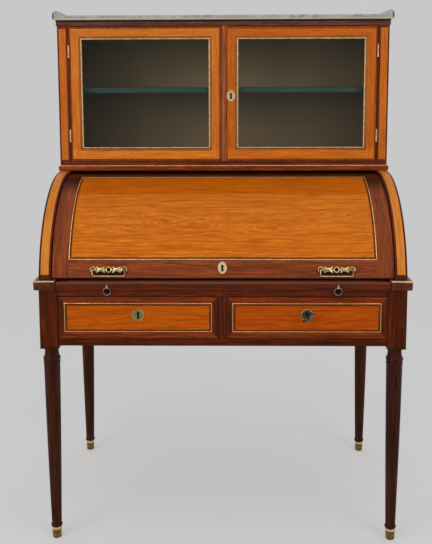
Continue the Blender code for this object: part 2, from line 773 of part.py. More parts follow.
def make_slide():
    travel = joint_empty("slide_runs", (0, LIP_FACE, SLIDE_Z))
    lip_half = CAP_IN - DRAWER_CLEARANCE
    board_half = BEARER_IN - GAP
    lip_back = LIP_FACE + LIP_DEPTH
    plan = [(lip_half, LIP_FACE), (lip_half, lip_back), (board_half, lip_back)]
    plan += [(board_half, LIP_FACE + SLIDE_LENGTH)]
    plan += [(-x, y) for x, y in reversed(plan)]
    mesh = outline_mesh([plan], "Z", SLIDE_Z, SLIDE_TOP)
    slide = add_piece("writing_slide", mesh, MAHOGANY, travel.location, travel)
    round_edges(slide, LIP_ROUNDING)

    for side, sign in SIDES:
        stud_z = SLIDE_TOP - STUD_DROP
        eye = Vector((sign * PULL_X, LIP_FACE - EYE_REACH, stud_z - EYE_DROP))
        seat = Vector((eye.x, LIP_FACE - GAP, stud_z))
        end = seat - Vector((0, STUD_LENGTH, 0))
        post = rod_mesh(seat, end, STUD_RADIUS, ROD_STEPS, STUD_END_RADIUS)
        stud = add_piece(f"{side}_ring_stud", post, BRASS, seat, travel)
        half = Vector((EYE_WIDTH / 2, 0, 0))
        join(stud, rod_mesh(eye - half, eye + half, EYE_RADIUS), "eye")
        bore = RING_WIRE + WIRE_CLEARANCE
        cut(stud, rod_mesh(eye - half * 2, eye + half * 2, bore, FINE_STEPS), "eye_hole")
        swing = joint_empty(f"{side}_ring_swings", eye, travel)
        centre_z = eye.z - RING_RADIUS
        loop = [(eye.x + u, eye.y, centre_z + v) for u, v in circle(RING_RADIUS, ARC_STEPS)]
        add_piece(f"{side}_pull_ring", wire_mesh(loop, RING_WIRE, cyclic=True), BRASS, eye, swing)


def make_cheeks():
    for side, sign in SIDES:
        low = math.asin((MOULDING_TOP + GAP - AXIS.z) / CHEEK_RADIUS)
        outline = cylinder_arc(CHEEK_RADIUS, low, math.pi / 2, ARC_STEPS)
        outline += [(BACK - SIDE_REVEAL, CHEEK_TOP), (BACK - SIDE_REVEAL, MOULDING_TOP + GAP)]
        mesh = outline_mesh([outline], "X", sign * CHEEK_IN, sign * HALF)
        add_piece(f"{side}_cheek", mesh, MAHOGANY, (sign * HALF, AXIS.y, MOULDING_TOP))


def make_cylinder():
    pivot = joint_empty("cylinder_pivot", AXIS)
    start = math.asin((SHELL_Z - AXIS.z) / SHELL_RADIUS)
    start_in = math.asin((SHELL_Z - AXIS.z) / SHELL_IN)
    section = cylinder_arc(SHELL_RADIUS, start, SHELL_TOP_ANGLE, ARC_STEPS)
    section += cylinder_arc(SHELL_IN, SHELL_TOP_ANGLE, start_in, ARC_STEPS)
    half = CHEEK_IN - SHELL_END_PLAY
    shell = add_piece("cylinder_shell", outline_mesh([section], "X", -half, half), SATINWOOD, AXIS, pivot)

    for side, sign in SIDES:
        make_arm(side, sign, start_in, pivot)
        make_handle(side, sign, pivot)
    oval = ellipse((0, 0), OVAL_WIDTH, OVAL_HEIGHT)
    place = on_cylinder(0, OVAL_ANGLE, ESCUTCHEON_PLATE / 2 + GAP)
    hole = keyhole((0, KEYHOLE_RISE))
    plate = outline_mesh([oval, hole], "Z", 0, ESCUTCHEON_PLATE, place)
    add_piece("cylinder_escutcheon", plate, BRASS, AXIS, pivot)
    place = on_cylinder(0, OVAL_ANGLE, (OVERCUT - KEYHOLE_DEPTH) / 2)
    cut(shell, outline_mesh([hole], "Z", -KEYHOLE_DEPTH, OVERCUT, place), "keyhole")


def on_cylinder(x, angle, height):
    """A frame that lies on the cylinder: local X along the desk, local Y up the curve, local Z out."""
    y, z = rolled(angle, SHELL_RADIUS + height)
    return Matrix.Translation((x, y, z)) @ Matrix.Rotation(math.pi / 2 - angle, 4, "X")


def make_arm(side, sign, start, pivot):
    """A sector board inside each end of the cylinder, with the pivot that turns in the side apron."""
    radius = SHELL_IN - GAP
    outline = cylinder_arc(radius, start, start + ARM_SPREAD, ARC_STEPS // 2)
    boss_start = start + ARM_SPREAD + math.pi / 2
    outline += cylinder_arc(PIVOT_BOSS, boss_start, boss_start + math.pi - ARM_SPREAD, FINE_STEPS)
    arm = add_piece(
        f"{side}_cylinder_arm",
        outline_mesh([outline], "X", sign * ARM_IN, sign * ARM_OUT),
        MAHOGANY,
        AXIS,
        pivot,
    )
    inside = Vector((sign * (ARM_IN + ARM_THICKNESS / 2), AXIS.y, AXIS.z))
    outside = Vector((sign * (APRON_IN + PIVOT_BITE), AXIS.y, AXIS.z))
    join(arm, rod_mesh(inside, outside, PIVOT_RADIUS, TURNING_STEPS), "pivot")


def handle_ornament():
    """A handle plate's crescents, scrolls, links and posts, lying flat, and the holes for the bail."""
    rise = [math.sin(math.pi * i / CRESCENT_STEPS) for i in range(CRESCENT_STEPS + 1)]
    swell = [CRESCENT_TIP + (CRESCENT_BELLY - CRESCENT_TIP) * part for part in rise]
    added, removed = [], []
    for way in (-1, 1):
        for up in (-1, 1):
            bow = arc(
                (way * CRESCENT_X, up * (CRESCENT_RADIUS + CRESCENT_WIRE / 2)),
                CRESCENT_RADIUS,
                up * math.pi * 3 / 2 - CRESCENT_SPREAD,
                up * math.pi * 3 / 2 + CRESCENT_SPREAD,
                CRESCENT_STEPS,
            )
            bow = [(u, v, CRESCENT_WIRE * CRESCENT_BELLY) for u, v in bow]
            crescent = wire_mesh(bow, CRESCENT_WIRE, swell)
            crescent.transform(Matrix.Diagonal((1, 1, CRESCENT_RELIEF, 1)))
            added.append(crescent)
        scroll = arc((way * SCROLL_X, 0), SCROLL_RADIUS, SCROLL_START, SCROLL_END, FINE_STEPS)
        added.append(wire_mesh([(u, v, SCROLL_WIRE + GAP) for u, v in scroll], SCROLL_WIRE))
        link = [(way * HANDLE_RING, 0, HANDLE_RING_WIRE), (way * POST_X, 0, HANDLE_RING_WIRE)]
        added.append(wire_mesh(link, LINK_WIRE))
        foot, head = SCROLL_WIRE / 2, BAIL_HEIGHT + POST_RADIUS
        added.append(rod_mesh((way * POST_X, 0, foot), (way * POST_X, 0, head), POST_RADIUS, FINE_STEPS))
        near, far = way * (POST_X - 2 * POST_RADIUS), way * (POST_X + 2 * POST_RADIUS)
        bore = BAIL_PIN + PIN_CLEARANCE
        removed.append(rod_mesh((near, 0, BAIL_HEIGHT), (far, 0, BAIL_HEIGHT), bore, FINE_STEPS))
    return added, removed


def make_handle(side, sign, pivot):
    """A pierced gilt plate and the bail that hangs from its posts."""
    seat = on_cylinder(sign * HANDLE_X, HANDLE_ANGLE, GAP)
    ring = [(u, v, HANDLE_RING_WIRE) for u, v in circle(HANDLE_RING, TURNING_STEPS)]
    rim = wire_mesh(ring, HANDLE_RING_WIRE, cyclic=True)
    rim.transform(seat)
    plate = add_piece(f"{side}_handle_plate", rim, BRASS, AXIS, pivot)
    added, removed = handle_ornament()
    for operation, meshes in (("UNION", added), ("DIFFERENCE", removed)):
        for i, mesh in enumerate(meshes):
            mesh.transform(seat)
            # These wires meet at grazing angles, which the exact solver leaves open.
            boolean(plate, operation, mesh, f"{plate.name}_{operation.lower()}_{i}", "MANIFOLD")

    axle = (seat @ Matrix.Translation((0, 0, BAIL_HEIGHT))).translation
    swing = joint_empty(f"{side}_bail_swings", axle, pivot)
    arm_x = POST_X + POST_RADIUS + WIRE_CLEARANCE + BAIL_WIRE
    corner = arc((arm_x - BAIL_CORNER, BAIL_CORNER - BAIL_DROP), BAIL_CORNER, 0, -math.pi / 2, CORNER_STEPS)
    half_path = [(arm_x - PIN_BITE, 0), (arm_x - BAIL_WIRE, 0), (arm_x, 0), *corner]
    path = half_path + [(-u, v) for u, v in reversed(half_path)]
    slim = BAIL_PIN / BAIL_WIRE
    widths = [slim] * 2 + [1.0] * (len(path) - 4) + [slim] * 2
    bail = wire_mesh([(axle.x + u, axle.y, axle.z + v) for u, v in path], BAIL_WIRE, widths)
    add_piece(f"{side}_handle_bail", bail, BRASS, axle, swing)


def make_nest():
    """The fitted inside: pigeonholes above and two small drawers below."""
    z = SLIDE_TOP + SLIDE_HEADROOM + GAP
    front, back = FRONT + NEST_FRONT, FRONT + NEST_FRONT + NEST_DEPTH
    nest = box_piece(
        "pigeonhole_nest",
        (-BEARER_OUT, front, z),
        (BEARER_OUT, back, z + NEST_HEIGHT),
        SATINWOOD,
        (0, front, z),
    )
    hole_back = back - NEST_BOARD
    middle_half = BEARER_OUT - 2 * NEST_BOARD - NEST_BAY
    shelf = z + NEST_BOARD + NEST_DRAWER_HEIGHT
    top = z + NEST_HEIGHT - NEST_BOARD
    centre = box_mesh((-middle_half, front - OVERCUT, z + NEST_BOARD), (middle_half, hole_back, top))
    cut(nest, centre, "middle_hole")
    for side, sign in SIDES:
        outer = BEARER_OUT - NEST_BOARD
        inner = outer - NEST_BAY
        split = (outer + inner) / 2
        holes = (
            ("drawer_hole", inner, outer, z + NEST_BOARD, shelf),
            ("inner_hole", inner, split - NEST_BOARD / 2, shelf + NEST_BOARD, top),
            ("outer_hole", split + NEST_BOARD / 2, outer, shelf + NEST_BOARD, top),
        )
        for what, near, far, foot, head in holes:
            low_x, high_x = sorted((sign * near, sign * far))
            hole = box_mesh((low_x, front - OVERCUT, foot), (high_x, hole_back, head))
            cut(nest, hole, f"{side}_{what}")
        make_small_drawer(side, sign, (inner, outer), (front, hole_back), (z + NEST_BOARD, shelf))


def make_small_drawer(side, sign, across, depth, height):
    low_x, high_x = sorted((sign * across[0], sign * across[1]))
    low_x, high_x = low_x + DRAWER_CLEARANCE, high_x - DRAWER_CLEARANCE
    foot, top = height[0] + GAP, height[1] - DRAWER_CLEARANCE
    middle = (low_x + high_x) / 2
    travel = joint_empty(f"{side}_small_drawer_runs", (middle, depth[0], foot))
    drawer = box_piece(
        f"{side}_small_drawer",
        (low_x, depth[0], foot),
        (high_x, depth[1] - DRAWER_CLEARANCE, top),
        SATINWOOD,
        travel.location,
        travel,
    )
    wall = SMALL_DRAWER_WALL
    hollow = box_mesh(
        (low_x + wall, depth[0] + 2 * wall, foot + wall),
        (high_x - wall, depth[1] - DRAWER_CLEARANCE - wall, top + wall),
    )
    cut(drawer, hollow, "hollow")
    root = Vector((middle, depth[0] + wall, (foot + top) / 2))
    knob = root - Vector((0, wall + KNOB_REACH, 0))
    join(drawer, rod_mesh(root, knob, KNOB_STEM_RADIUS, FINE_STEPS), "knob_stem")
    join(drawer, ball_mesh(knob, KNOB_RADIUS), "knob")


def make_cabinet():
    over = HALF + BASE_OVERHANG
    base = box_piece(
        "vitrine_base",
        (-over, CABINET_FACE - BASE_OVERHANG, BASE_Z),
        (over, BACK, BASE_TOP),
        MAHOGANY,
    )
    round_edges(base, BASE_ROUNDING)
    plinth_half = STILE_IN - GAP
    floor = box_mesh(
        (-plinth_half, CABINET_FACE, BASE_TOP - BASE_TENON),
        (plinth_half, CABINET_BACK_FACE - GAP, FLOOR_TOP),
    )
    join(base, floor, "rail_and_floor")

    sides_z, sides_top = BASE_TOP + GAP, CORNICE_Z - GAP
    for side, sign in SIDES:
        stile_back = CABINET_FACE + STILE_DEPTH
        plan = [(HALF, CABINET_FACE), (HALF, BACK - SIDE_REVEAL), (PANEL_IN, BACK - SIDE_REVEAL)]
        plan += [(PANEL_IN, stile_back), (STILE_IN, stile_back), (STILE_IN, CABINET_FACE)]
        mesh = outline_mesh([[(sign * x, y) for x, y in plan]], "Z", sides_z, sides_top)
        panel = add_piece(f"vitrine_{side}_side", mesh, MAHOGANY, (sign * HALF, CABINET_FACE, sides_z))
        low_x, high_x = sorted((sign * (PANEL_IN - OVERCUT), sign * (PANEL_IN + SHELF_HOUSING)))
        housing = box_mesh(
            (low_x, CABINET_FACE + SHELF_SETBACK - GAP, SHELF_Z - GAP),
            (high_x, BACK, SHELF_Z + SHELF_THICKNESS + GAP),
        )
        cut(panel, housing, "shelf_housing")

    back_half = PANEL_IN - GAP
    box_piece(
        "vitrine_back",
        (-back_half, CABINET_BACK_FACE, sides_z),
        (back_half, CABINET_BACK_FACE + CABINET_BACK, sides_top),
        LINING,
    )
    shelf_half = PANEL_IN + SHELF_HOUSING - GAP
    box_piece(
        "vitrine_shelf",
        (-shelf_half, CABINET_FACE + SHELF_SETBACK, SHELF_Z),
        (shelf_half, CABINET_BACK_FACE - GAP, SHELF_Z + SHELF_THICKNESS),
        SHELF_PAINT,
    )
    over = HALF + CORNICE_OVERHANG
    box_piece(
        "vitrine_cornice",
        (-over, CABINET_FACE - CORNICE_OVERHANG, CORNICE_Z),
        (over, BACK, CORNICE_TOP),
        MAHOGANY,
    )
    over = HALF + MARBLE_OVERHANG
    slab_front = CABINET_FACE - MARBLE_OVERHANG
    marble = box_piece(
        "marble_top",
        (-over, slab_front, MARBLE_Z),
        (over, BACK, MARBLE_TOP + MARBLE_LIP),
        MARBLE,
    )
    tray = box_mesh(
        (MARBLE_LIP_WIDTH - over, slab_front - OVERCUT, MARBLE_TOP),
        (over - MARBLE_LIP_WIDTH, BACK - MARBLE_LIP_WIDTH, MARBLE_TOP + MARBLE_LIP * 2),
    )
    cut(marble, tray, "tray")
    round_edges(marble, MARBLE_ROUNDING, 3)
    start, lip_top = slab_front + LIP_START, MARBLE_TOP + MARBLE_LIP
    slope = [(slab_front - OVERCUT, MARBLE_TOP), (start, MARBLE_TOP), (start + LIP_RISE, lip_top)]
    slope += [(start + LIP_RISE, lip_top + OVERCUT), (slab_front - OVERCUT, lip_top + OVERCUT)]
    inner = over - MARBLE_LIP_WIDTH - 2 * MARBLE_ROUNDING
    for side, sign in SIDES:
        cut(marble, outline_mesh([slope], "X", sign * inner, sign * (over + OVERCUT)), f"{side}_slope")


def make_doors():
    hinge_x = STILE_IN - HINGE_GAP / 2
    hinge_y = CABINET_FACE - HINGE_RADIUS - 2 * GAP
    outer = STILE_IN - HINGE_GAP
    meeting = DOOR_MEETING_X
    edges = {
        "left": (-outer, meeting - DOOR_MEETING_GAP / 2, DOOR_STILE, DOOR_STILE),
        "right": (meeting + DOOR_MEETING_GAP / 2, outer, ASTRAGAL_WIDTH + LOCK_STILE, DOOR_STILE),
    }
    for side, sign in SIDES:
        swing = joint_empty(f"{side}_door_swings", (sign * hinge_x, hinge_y, DOOR_Z))
        low_x, high_x, low_stile, high_stile = edges[side]
        frame = box_piece(
            f"{side}_door_frame",
            (low_x, CABINET_FACE, DOOR_Z),
            (high_x, CABINET_FACE + DOOR_THICKNESS, DOOR_TOP),
            SATINWOOD,
            swing.location,
            swing,
        )
        sight_x = (low_x + low_stile, high_x - high_stile)
        sight_z = (DOOR_Z + DOOR_BOTTOM_RAIL, DOOR_TOP - DOOR_TOP_RAIL)

        def opening(more, start, end):
            return box_mesh(
                (sight_x[0] - more, CABINET_FACE + start, sight_z[0] - more),
                (sight_x[1] + more, CABINET_FACE + end, sight_z[1] + more),
            )

        cut(frame, opening(0, -OVERCUT, DOOR_THICKNESS + OVERCUT), "light")
        cut(frame, opening(BEAD_WIDTH, -OVERCUT, BEAD_SEAT), "bead_seat")
        cut(frame, splayed(opening(BEAD_WIDTH, -SPLAY_DEPTH, SPLAY_DEPTH), 2 * SPLAY_WIDTH), "splay")
        cut(frame, opening(GLASS_REBATE, GLASS_SEAT, DOOR_THICKNESS + OVERCUT), "glass_rebate")
        pane = opening(GLASS_REBATE - GAP, GLASS_SEAT + GAP, GLASS_SEAT + GAP + GLASS_THICKNESS)
        add_piece(f"{side}_door_glass", pane, GLASS, swing.location, swing)

        for level, middle in (("upper", DOOR_TOP - UPPER_HINGE_DROP), ("lower", DOOR_Z + LOWER_HINGE_RISE)):
            foot, head = middle - HINGE_HEIGHT / 2, middle + HINGE_HEIGHT / 2
            x = sign * hinge_x
            knuckle = rod_mesh((x, hinge_y, foot), (x, hinge_y, head), HINGE_RADIUS)
            hinge = add_piece(f"{side}_door_{level}_hinge", knuckle, BRASS, (x, hinge_y, foot), swing)
            near = sign * (outer + GAP)
            low, high = sorted((near, near + sign * HINGE_LEAF))
            leaf = box_mesh((low, hinge_y, foot), (high, CABINET_FACE + HINGE_LEAF_DEPTH, head))
            join(hinge, leaf, "leaf")

        if side == "right":
            strip = box_mesh(
                (low_x, CABINET_FACE - ASTRAGAL_PROUD, DOOR_Z),
                (low_x + ASTRAGAL_WIDTH, CABINET_FACE + BEAD_SEAT, DOOR_TOP),
            )
            join(frame, strip, "astragal")
            face = CABINET_FACE - GAP
            level = DOOR_Z + DOOR_OVAL_RISE
            oval_x = low_x + DOOR_OVAL_INSET
            oval = ellipse((oval_x, level), DOOR_OVAL_WIDTH, DOOR_OVAL_HEIGHT)
            hole = keyhole((oval_x, level + KEYHOLE_RISE))
            plate = outline_mesh([oval, hole], "Y", face - ESCUTCHEON_PLATE, face)
            add_piece("door_escutcheon", plate, BRASS, swing.location, swing)
            cut(frame, outline_mesh([hole], "Y", face - OVERCUT, face + KEYHOLE_DEPTH), "keyhole")


clear_scene()
parts = new_collection("bonheur_du_jour")
cutters = new_collection("cutters")
make_legs()
make_frieze()
make_drawers()
make_slide()
make_cheeks()
make_cylinder()
make_nest()
make_cabinet()
make_doors()
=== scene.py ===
import json
import math

import bmesh
import bpy
from mathutils import Matrix, Vector


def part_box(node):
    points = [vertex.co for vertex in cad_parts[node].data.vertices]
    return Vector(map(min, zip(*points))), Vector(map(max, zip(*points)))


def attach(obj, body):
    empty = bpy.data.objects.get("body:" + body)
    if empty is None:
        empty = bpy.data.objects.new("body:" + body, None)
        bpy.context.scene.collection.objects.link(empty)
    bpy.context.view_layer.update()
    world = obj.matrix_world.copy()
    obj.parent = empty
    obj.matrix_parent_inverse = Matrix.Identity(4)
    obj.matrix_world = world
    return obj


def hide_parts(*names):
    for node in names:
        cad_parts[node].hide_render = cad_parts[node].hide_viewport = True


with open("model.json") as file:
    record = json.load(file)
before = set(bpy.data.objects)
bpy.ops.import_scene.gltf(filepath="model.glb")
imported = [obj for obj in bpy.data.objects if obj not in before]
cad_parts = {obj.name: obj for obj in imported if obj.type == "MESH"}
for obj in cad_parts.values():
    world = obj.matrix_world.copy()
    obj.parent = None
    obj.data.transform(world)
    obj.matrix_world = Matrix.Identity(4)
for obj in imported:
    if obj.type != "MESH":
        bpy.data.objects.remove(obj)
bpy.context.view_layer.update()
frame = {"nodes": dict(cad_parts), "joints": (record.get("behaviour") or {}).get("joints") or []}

# Camera that took the photograph, fitted to the desk's own edges
IMAGE_HEIGHT = 544  # pixels along the picture's long side
CAMERA_PLACE = Vector((0.0189, -2.3353, 1.2587))
CAMERA_PITCH = 0.1251  # radians, downwards
CAMERA_YAW = -0.0169
CAMERA_ROLL = -0.0033
FOCAL_PIXELS = 795.2
AXIS_ROW = 183.4  # pixel row of the lens axis
SENSOR = 36.0  # millimetres along the same side

# Veneers, strings and beads, in metres
MM = 0.001
VENEER = 0.20 * MM  # a veneer stands this far off the solid under it
STRING_LIFT = 0.40 * MM  # height of a brass string's crown
CYLINDER_BRASS = 2.4 * MM
DRAWER_BRASS = 1.9 * MM
# Margins of four go from the left to the foot, the right and the head.
# The dark line is widest at the head of the cylinder, where it also stands for painted shade.
CYLINDER_DARK = (5.0 * MM, 4.4 * MM, 5.0 * MM, 6.0 * MM)  # dark line inside the brass string
DRAWER_DARK = (6.2 * MM, 4.6 * MM, 5.6 * MM, 5.2 * MM)
FINE_LINE = 1.3 * MM  # lines beside the bands of cheeks and stiles
DRAWER_BANDING = (15.8 * MM, 17.2 * MM, 16.8 * MM, 17.2 * MM)  # from the drawer's edge to its string
CYLINDER_STILE = 43.7 * MM  # mahogany at each end of the cylinder, up to the brass string
CYLINDER_STRING_LIFT = 1.0 * MM
# Painted shade on the stiles above this height, under the cabinet's base.
CYLINDER_SHADE = 964.0 * MM  # height above which the stiles stay dark
CYLINDER_SHADE_BLUR = 14.0 * MM
CYLINDER_FOOT_ANGLE = math.radians(18.7)
CYLINDER_JOINT_ANGLE = math.radians(59.0)  # where the upper leaf of veneer starts
CYLINDER_HEAD_ANGLE = math.radians(79.4)
CHEEK_BAND_IN = 463.4 * MM  # from the middle of the desk
CHEEK_BAND_OUT = 485.0 * MM
CHEEK_BAND_FOOT = 754.0 * MM  # height at which the band starts
CHEEK_BAND_TUCK = 2.0 * MM  # it runs this far under the cabinet
STILE_BAND_IN = 465.0 * MM
STILE_BAND_OUT = 485.5 * MM
STILE_BAND_FOOT = 16.7 * MM  # mahogany under the band
STILE_BAND_HEAD = 7.3 * MM
DOOR_EDGE = {  # mahogany edge round the satinwood of a door
    "left": (5.0 * MM, 6.8 * MM, 7.4 * MM, 7.4 * MM),
    "right": (16.2 * MM, 6.8 * MM, 5.0 * MM, 8.2 * MM),
}
# Blur of the painted light on the lower rails of the doors.
DOOR_LIGHT_BLUR = 6.0 * MM
ASTRAGAL = 13.0 * MM
ASTRAGAL_ROUND = 1.4 * MM
# Dark at the head and foot of a door: painted shadow of the gap round it.
EDGE_LINE = (1.4 * MM, 0.4 * MM, 1.4 * MM, 1.6 * MM)  # line at the edge of a door
# Ebony line at a drawer's edge, partly painted shadow of the gap round the drawer.
DRAWER_EDGE = (1.2 * MM, 0.4 * MM, 1.2 * MM, 0.6 * MM)
# Painted shade along the lower edge of the cylinder; the stiles start above it.
CYLINDER_FOOT_SHADE = 2.6 * MM  # darkened lower edge of the cylinder
# Height of the painted shadow under the marble's overhang, a black line round the cornice.
CORNICE_SHADOW = 4.6 * MM
GLASS_IN_REBATE = 5.7 * MM  # the pane reaches this far under the bead
BEAD_WIDTH = 4.7 * MM
BEAD_SEAT = 4.0 * MM
BEAD_CROWN = 0.8 * MM  # top of the bead behind the door's face
BEAD_ROUND = 2.2 * MM
SPLAY_WIDTH = 5.5 * MM  # sloping edge between veneer and bead
SPLAY_DEPTH = 2.5 * MM
FILLET = 0.35 * MM  # half the thickness of the brass fillet on the base board
FILLET_TURN = math.radians(60)  # it wraps this far round the nosing
BASE_BOARD = 17.2 * MM  # thickness up to the fillet
NOSING = 4.0 * MM  # radius of the front of the base board
NOSING_REACH = 5.5 * MM
FILLET_END = 20.0 * MM  # the fillet stops this far from the back
LEATHER_MARGIN = 45.0 * MM  # wood round the leather of the slide
MOULDING_SEAM = 1.5 * MM  # a moulding's brass edge starts this far above the slide
MARBLE_SLAB = 13.5 * MM  # thickness inside the lips
MARBLE_ROUND = 4.5 * MM  # on its edges
MARBLE_COVE = 3.0 * MM  # hollow at the foot of a lip
LIP_WIDTH = 15.0 * MM
LIP_ROUND = 13.0 * MM  # on the outside of a side lip
LIP_CREST = 2.0 * MM  # on its inside
LIP_DROP = 5.5 * MM  # the side lips are lower than the back one
LIP_SWEEP = 60.0 * MM  # length over which they rise to it
LIP_STEP = 0.2 * MM  # the back lip runs in this much under the side ones
ARC_STEPS = 4  # facets of a quarter turn
SWEEP_STEPS = 8
SABOT_RIM = 25.2 * MM  # height of the bright rim of a sabot
BLOCK_FOOT = 2.0 * MM  # leg blocks reach this far under the lower rail
CURVE_STEP = 9.0 * MM  # length of a facet on a curved veneer
LOCK_HOLE = 10.5 * MM  # radius cut out of a veneer behind an escutcheon
LOCK_DEPTH = 20.0 * MM
ESCUTCHEON_PLATE = 1.6 * MM
RIM_WIDTH = 2.2 * MM
RIM_LIFT = 0.8 * MM
RIM_STEPS = 48
BUSH_RADIUS = 3.9 * MM
BUSH_RISE = 4.2 * MM
BUSH_DROP = 9.5 * MM
BUSH_FOOT = 3.3 * MM
BUSH_STEPS = 18
STRING_STEPS = 6
BEAD_STEPS = 7
GRAIN_MAP = "grain"
SIDES = (("left", -1), ("right", 1))

# Edges and shading of the solids
EASED = 0.5 * MM
EASED_ABOVE = math.radians(40)
WHOLE_BELOW = math.radians(0.3)  # facets that bend less are one face
BOARD_ANGLE = math.radians(35)
ROUND_ANGLE = math.radians(68)

# Woods: tones from pale to dark, and growth streaks by length and width
MAHOGANY_GRAIN = {"streak": (110 * MM, 4.0 * MM), "sway": 4 * MM, "contrast": 0.70}
SATINWOOD_GRAIN = {"streak": (40 * MM, 2.3 * MM), "sway": 3 * MM, "contrast": 0.42}
# The heart of the figured leaf lies this far up the curve of the cylinder.
FIGURED_GRAIN = {"streak": (58 * MM, 2.3 * MM), "sway": 9 * MM, "contrast": 0.55, "heart": 0.206}
PORE_STAIN = 0.42  # how far polish and dirt have darkened the pores
PORE_DEPTH = 0.04 * MM
MAHOGANY = {"tones": ("#6A2A10", "#53200B", "#2C1006"), **MAHOGANY_GRAIN}
FADED_MAHOGANY = {"tones": ("#984A26", "#803E1E", "#54240E"), **MAHOGANY_GRAIN}
ASTRAGAL_MAHOGANY = {"tones": ("#B86234", "#9B5228", "#663013"), **MAHOGANY_GRAIN}
BLOOMED_MAHOGANY = {"tones": ("#704434", "#5C3729", "#382018"), **MAHOGANY_GRAIN}
BASE_MAHOGANY = {"tones": ("#7E3412", "#67280A", "#3A1304"), **MAHOGANY_GRAIN}
# Painted light: a lighter copy of the base mahogany, for its rounded nosing.
PAINTED_LIGHT_NOSING_MAHOGANY = {"tones": ("#B04A12", "#90380A", "#521A05"), **MAHOGANY_GRAIN}
LEG_MAHOGANY = {"tones": ("#48200F", "#37180C", "#180904"), **MAHOGANY_GRAIN}
BANDING_MAHOGANY = {"tones": ("#8E3A0E", "#742C06", "#421503"), **MAHOGANY_GRAIN}
SHADED_MAHOGANY = {"tones": ("#5E240A", "#4A1B06", "#280D03"), **MAHOGANY_GRAIN}
STRING_MAHOGANY = {"tones": ("#743204", "#622902", "#481B01"), **MAHOGANY_GRAIN}
CYLINDER_SATINWOOD = {"tones": ("#DC7C1A", "#C6640E", "#924304"), **FIGURED_GRAIN}
UPPER_SATINWOOD = {"tones": ("#CE6804", "#BA5602", "#903C01"), **SATINWOOD_GRAIN}
CHEEK_SATINWOOD = {"tones": ("#DC8838", "#CE782A", "#9E5512"), **SATINWOOD_GRAIN}
STILE_SATINWOOD = {"tones": ("#CC7024", "#BA6018", "#90450C"), **SATINWOOD_GRAIN}
# Painted shade: a darker copy of satinwood, for the sloping edge round a pane.
SHADED_SPLAY_SATINWOOD = {"tones": ("#A8642E", "#945424", "#6C3A14"), **SATINWOOD_GRAIN}
DOOR_SATINWOOD = {
    "left": {"tones": ("#D87C2C", "#C66A20", "#9A4C10"), **SATINWOOD_GRAIN},
    "right": {"tones": ("#C86A1E", "#B65A14", "#8C4008"), **SATINWOOD_GRAIN},
}
# Painted light: lighter copies of the door satinwood, for the lower rails.
PAINTED_LIGHT_SATINWOOD = {  # lower part of the doors
    "left": {"tones": ("#EC8A28", "#DA761C", "#AA540E"), **SATINWOOD_GRAIN},
    "right": {"tones": ("#E67C1C", "#D16912", "#A04A08"), **SATINWOOD_GRAIN},
}
DRAWER_SATINWOOD = {
    "left": {"tones": ("#C25C00", "#AC4A00", "#823300"), **SATINWOOD_GRAIN},
    "right": {"tones": ("#BC5200", "#A44000", "#7A2C00"), **SATINWOOD_GRAIN},
}
OAK = {"tones": ("#A67E56", "#8E6642", "#5E4028"), **MAHOGANY_GRAIN}

# Studio: the backdrop that the camera sees, the rooms that polish mirrors, and soft lamps
BACKDROP = "#C8C8C8"
DIM_ROOM = "#8E8B88"
PALE_ROOM = "#EEEEEE"
ROOM_LIGHT = 0.62
ROOM_SPAN = (-0.94, -0.5)  # direction in which the dim room gives way to the pale one
PAPER_EVEN = (0.4, 2.2)  # metres over which the paper runs into the backdrop
PAPER_FRONT = (-1.3, -0.5)  # metres over which it ends in front of the desk
SOFTBOXES = (  # name, place, point that it is turned to, width and power
    ("key softbox", (2.8, -3.2, 2.3), (0, 0, 0.85), 2.0, 35),
    ("fill softbox", (-3.0, -3.2, 1.9), (0, 0, 0.8), 2.2, 41),
    ("top softbox", (0.1, -0.9, 3.4), (0, 0, 0.9), 2.0, 6),
)
FLOOR_REACH = 30.0
FLOOR_DROP = 0.2 * MM  # the floor lies this far under the feet


def linear(code):
    """A colour in sRGB hex as the linear colour that shaders take."""
    parts = [int(code[i : i + 2], 16) / 255 for i in (1, 3, 5)]
    return (*[p / 12.92 if p <= 0.04045 else ((p + 0.055) / 1.055) ** 2.4 for p in parts], 1.0)


def add(tree, kind, sockets=None, **settings):
    """Adds a node with its settings. A socket, by name or number, takes a value or another node's output."""
    made = tree.nodes.new(kind)
    for name, value in settings.items():
        setattr(made, name, value)
    for key, value in (sockets or {}).items():
        if isinstance(value, bpy.types.NodeSocket):
            tree.links.new(value, made.inputs[key])
        else:
            made.inputs[key].default_value = value
    return made


def blank(name):
    """A new material, its empty node tree, and the place of a point on the desk."""
    material = bpy.data.materials.new(name)
    material.use_nodes = True
    tree = material.node_tree
    tree.nodes.clear()
    return material, tree, add(tree, "ShaderNodeTexCoord").outputs["Object"]


def surface(tree, bump, depth, **sockets):
    """The Principled surface of a material, with its bump in metres."""
    named = {key.replace("_", " "): value for key, value in sockets.items()}
    raised = add(tree, "ShaderNodeBump", {"Strength": 1.0, "Distance": depth, "Height": bump})
    named["Normal"] = raised.outputs["Normal"]
    shader = add(tree, "ShaderNodeBsdfPrincipled", named)
    add(tree, "ShaderNodeOutputMaterial", {"Surface": shader.outputs["BSDF"]})


def coats(tree, ground, *layers):
    """A ground colour under coats of others. A coat has its tone, and a share or several to be multiplied."""
    colour = linear(ground) if isinstance(ground, str) else ground
    for tone, share, *others in layers:
        for other in others:
            share = add(tree, "ShaderNodeMath", {0: share, 1: other}, operation="MULTIPLY").outputs[0]
        tone = linear(tone) if isinstance(tone, str) else tone
        colour = add(tree, "ShaderNodeMix", {0: share, 6: colour, 7: tone}, data_type="RGBA").outputs[2]
    return colour


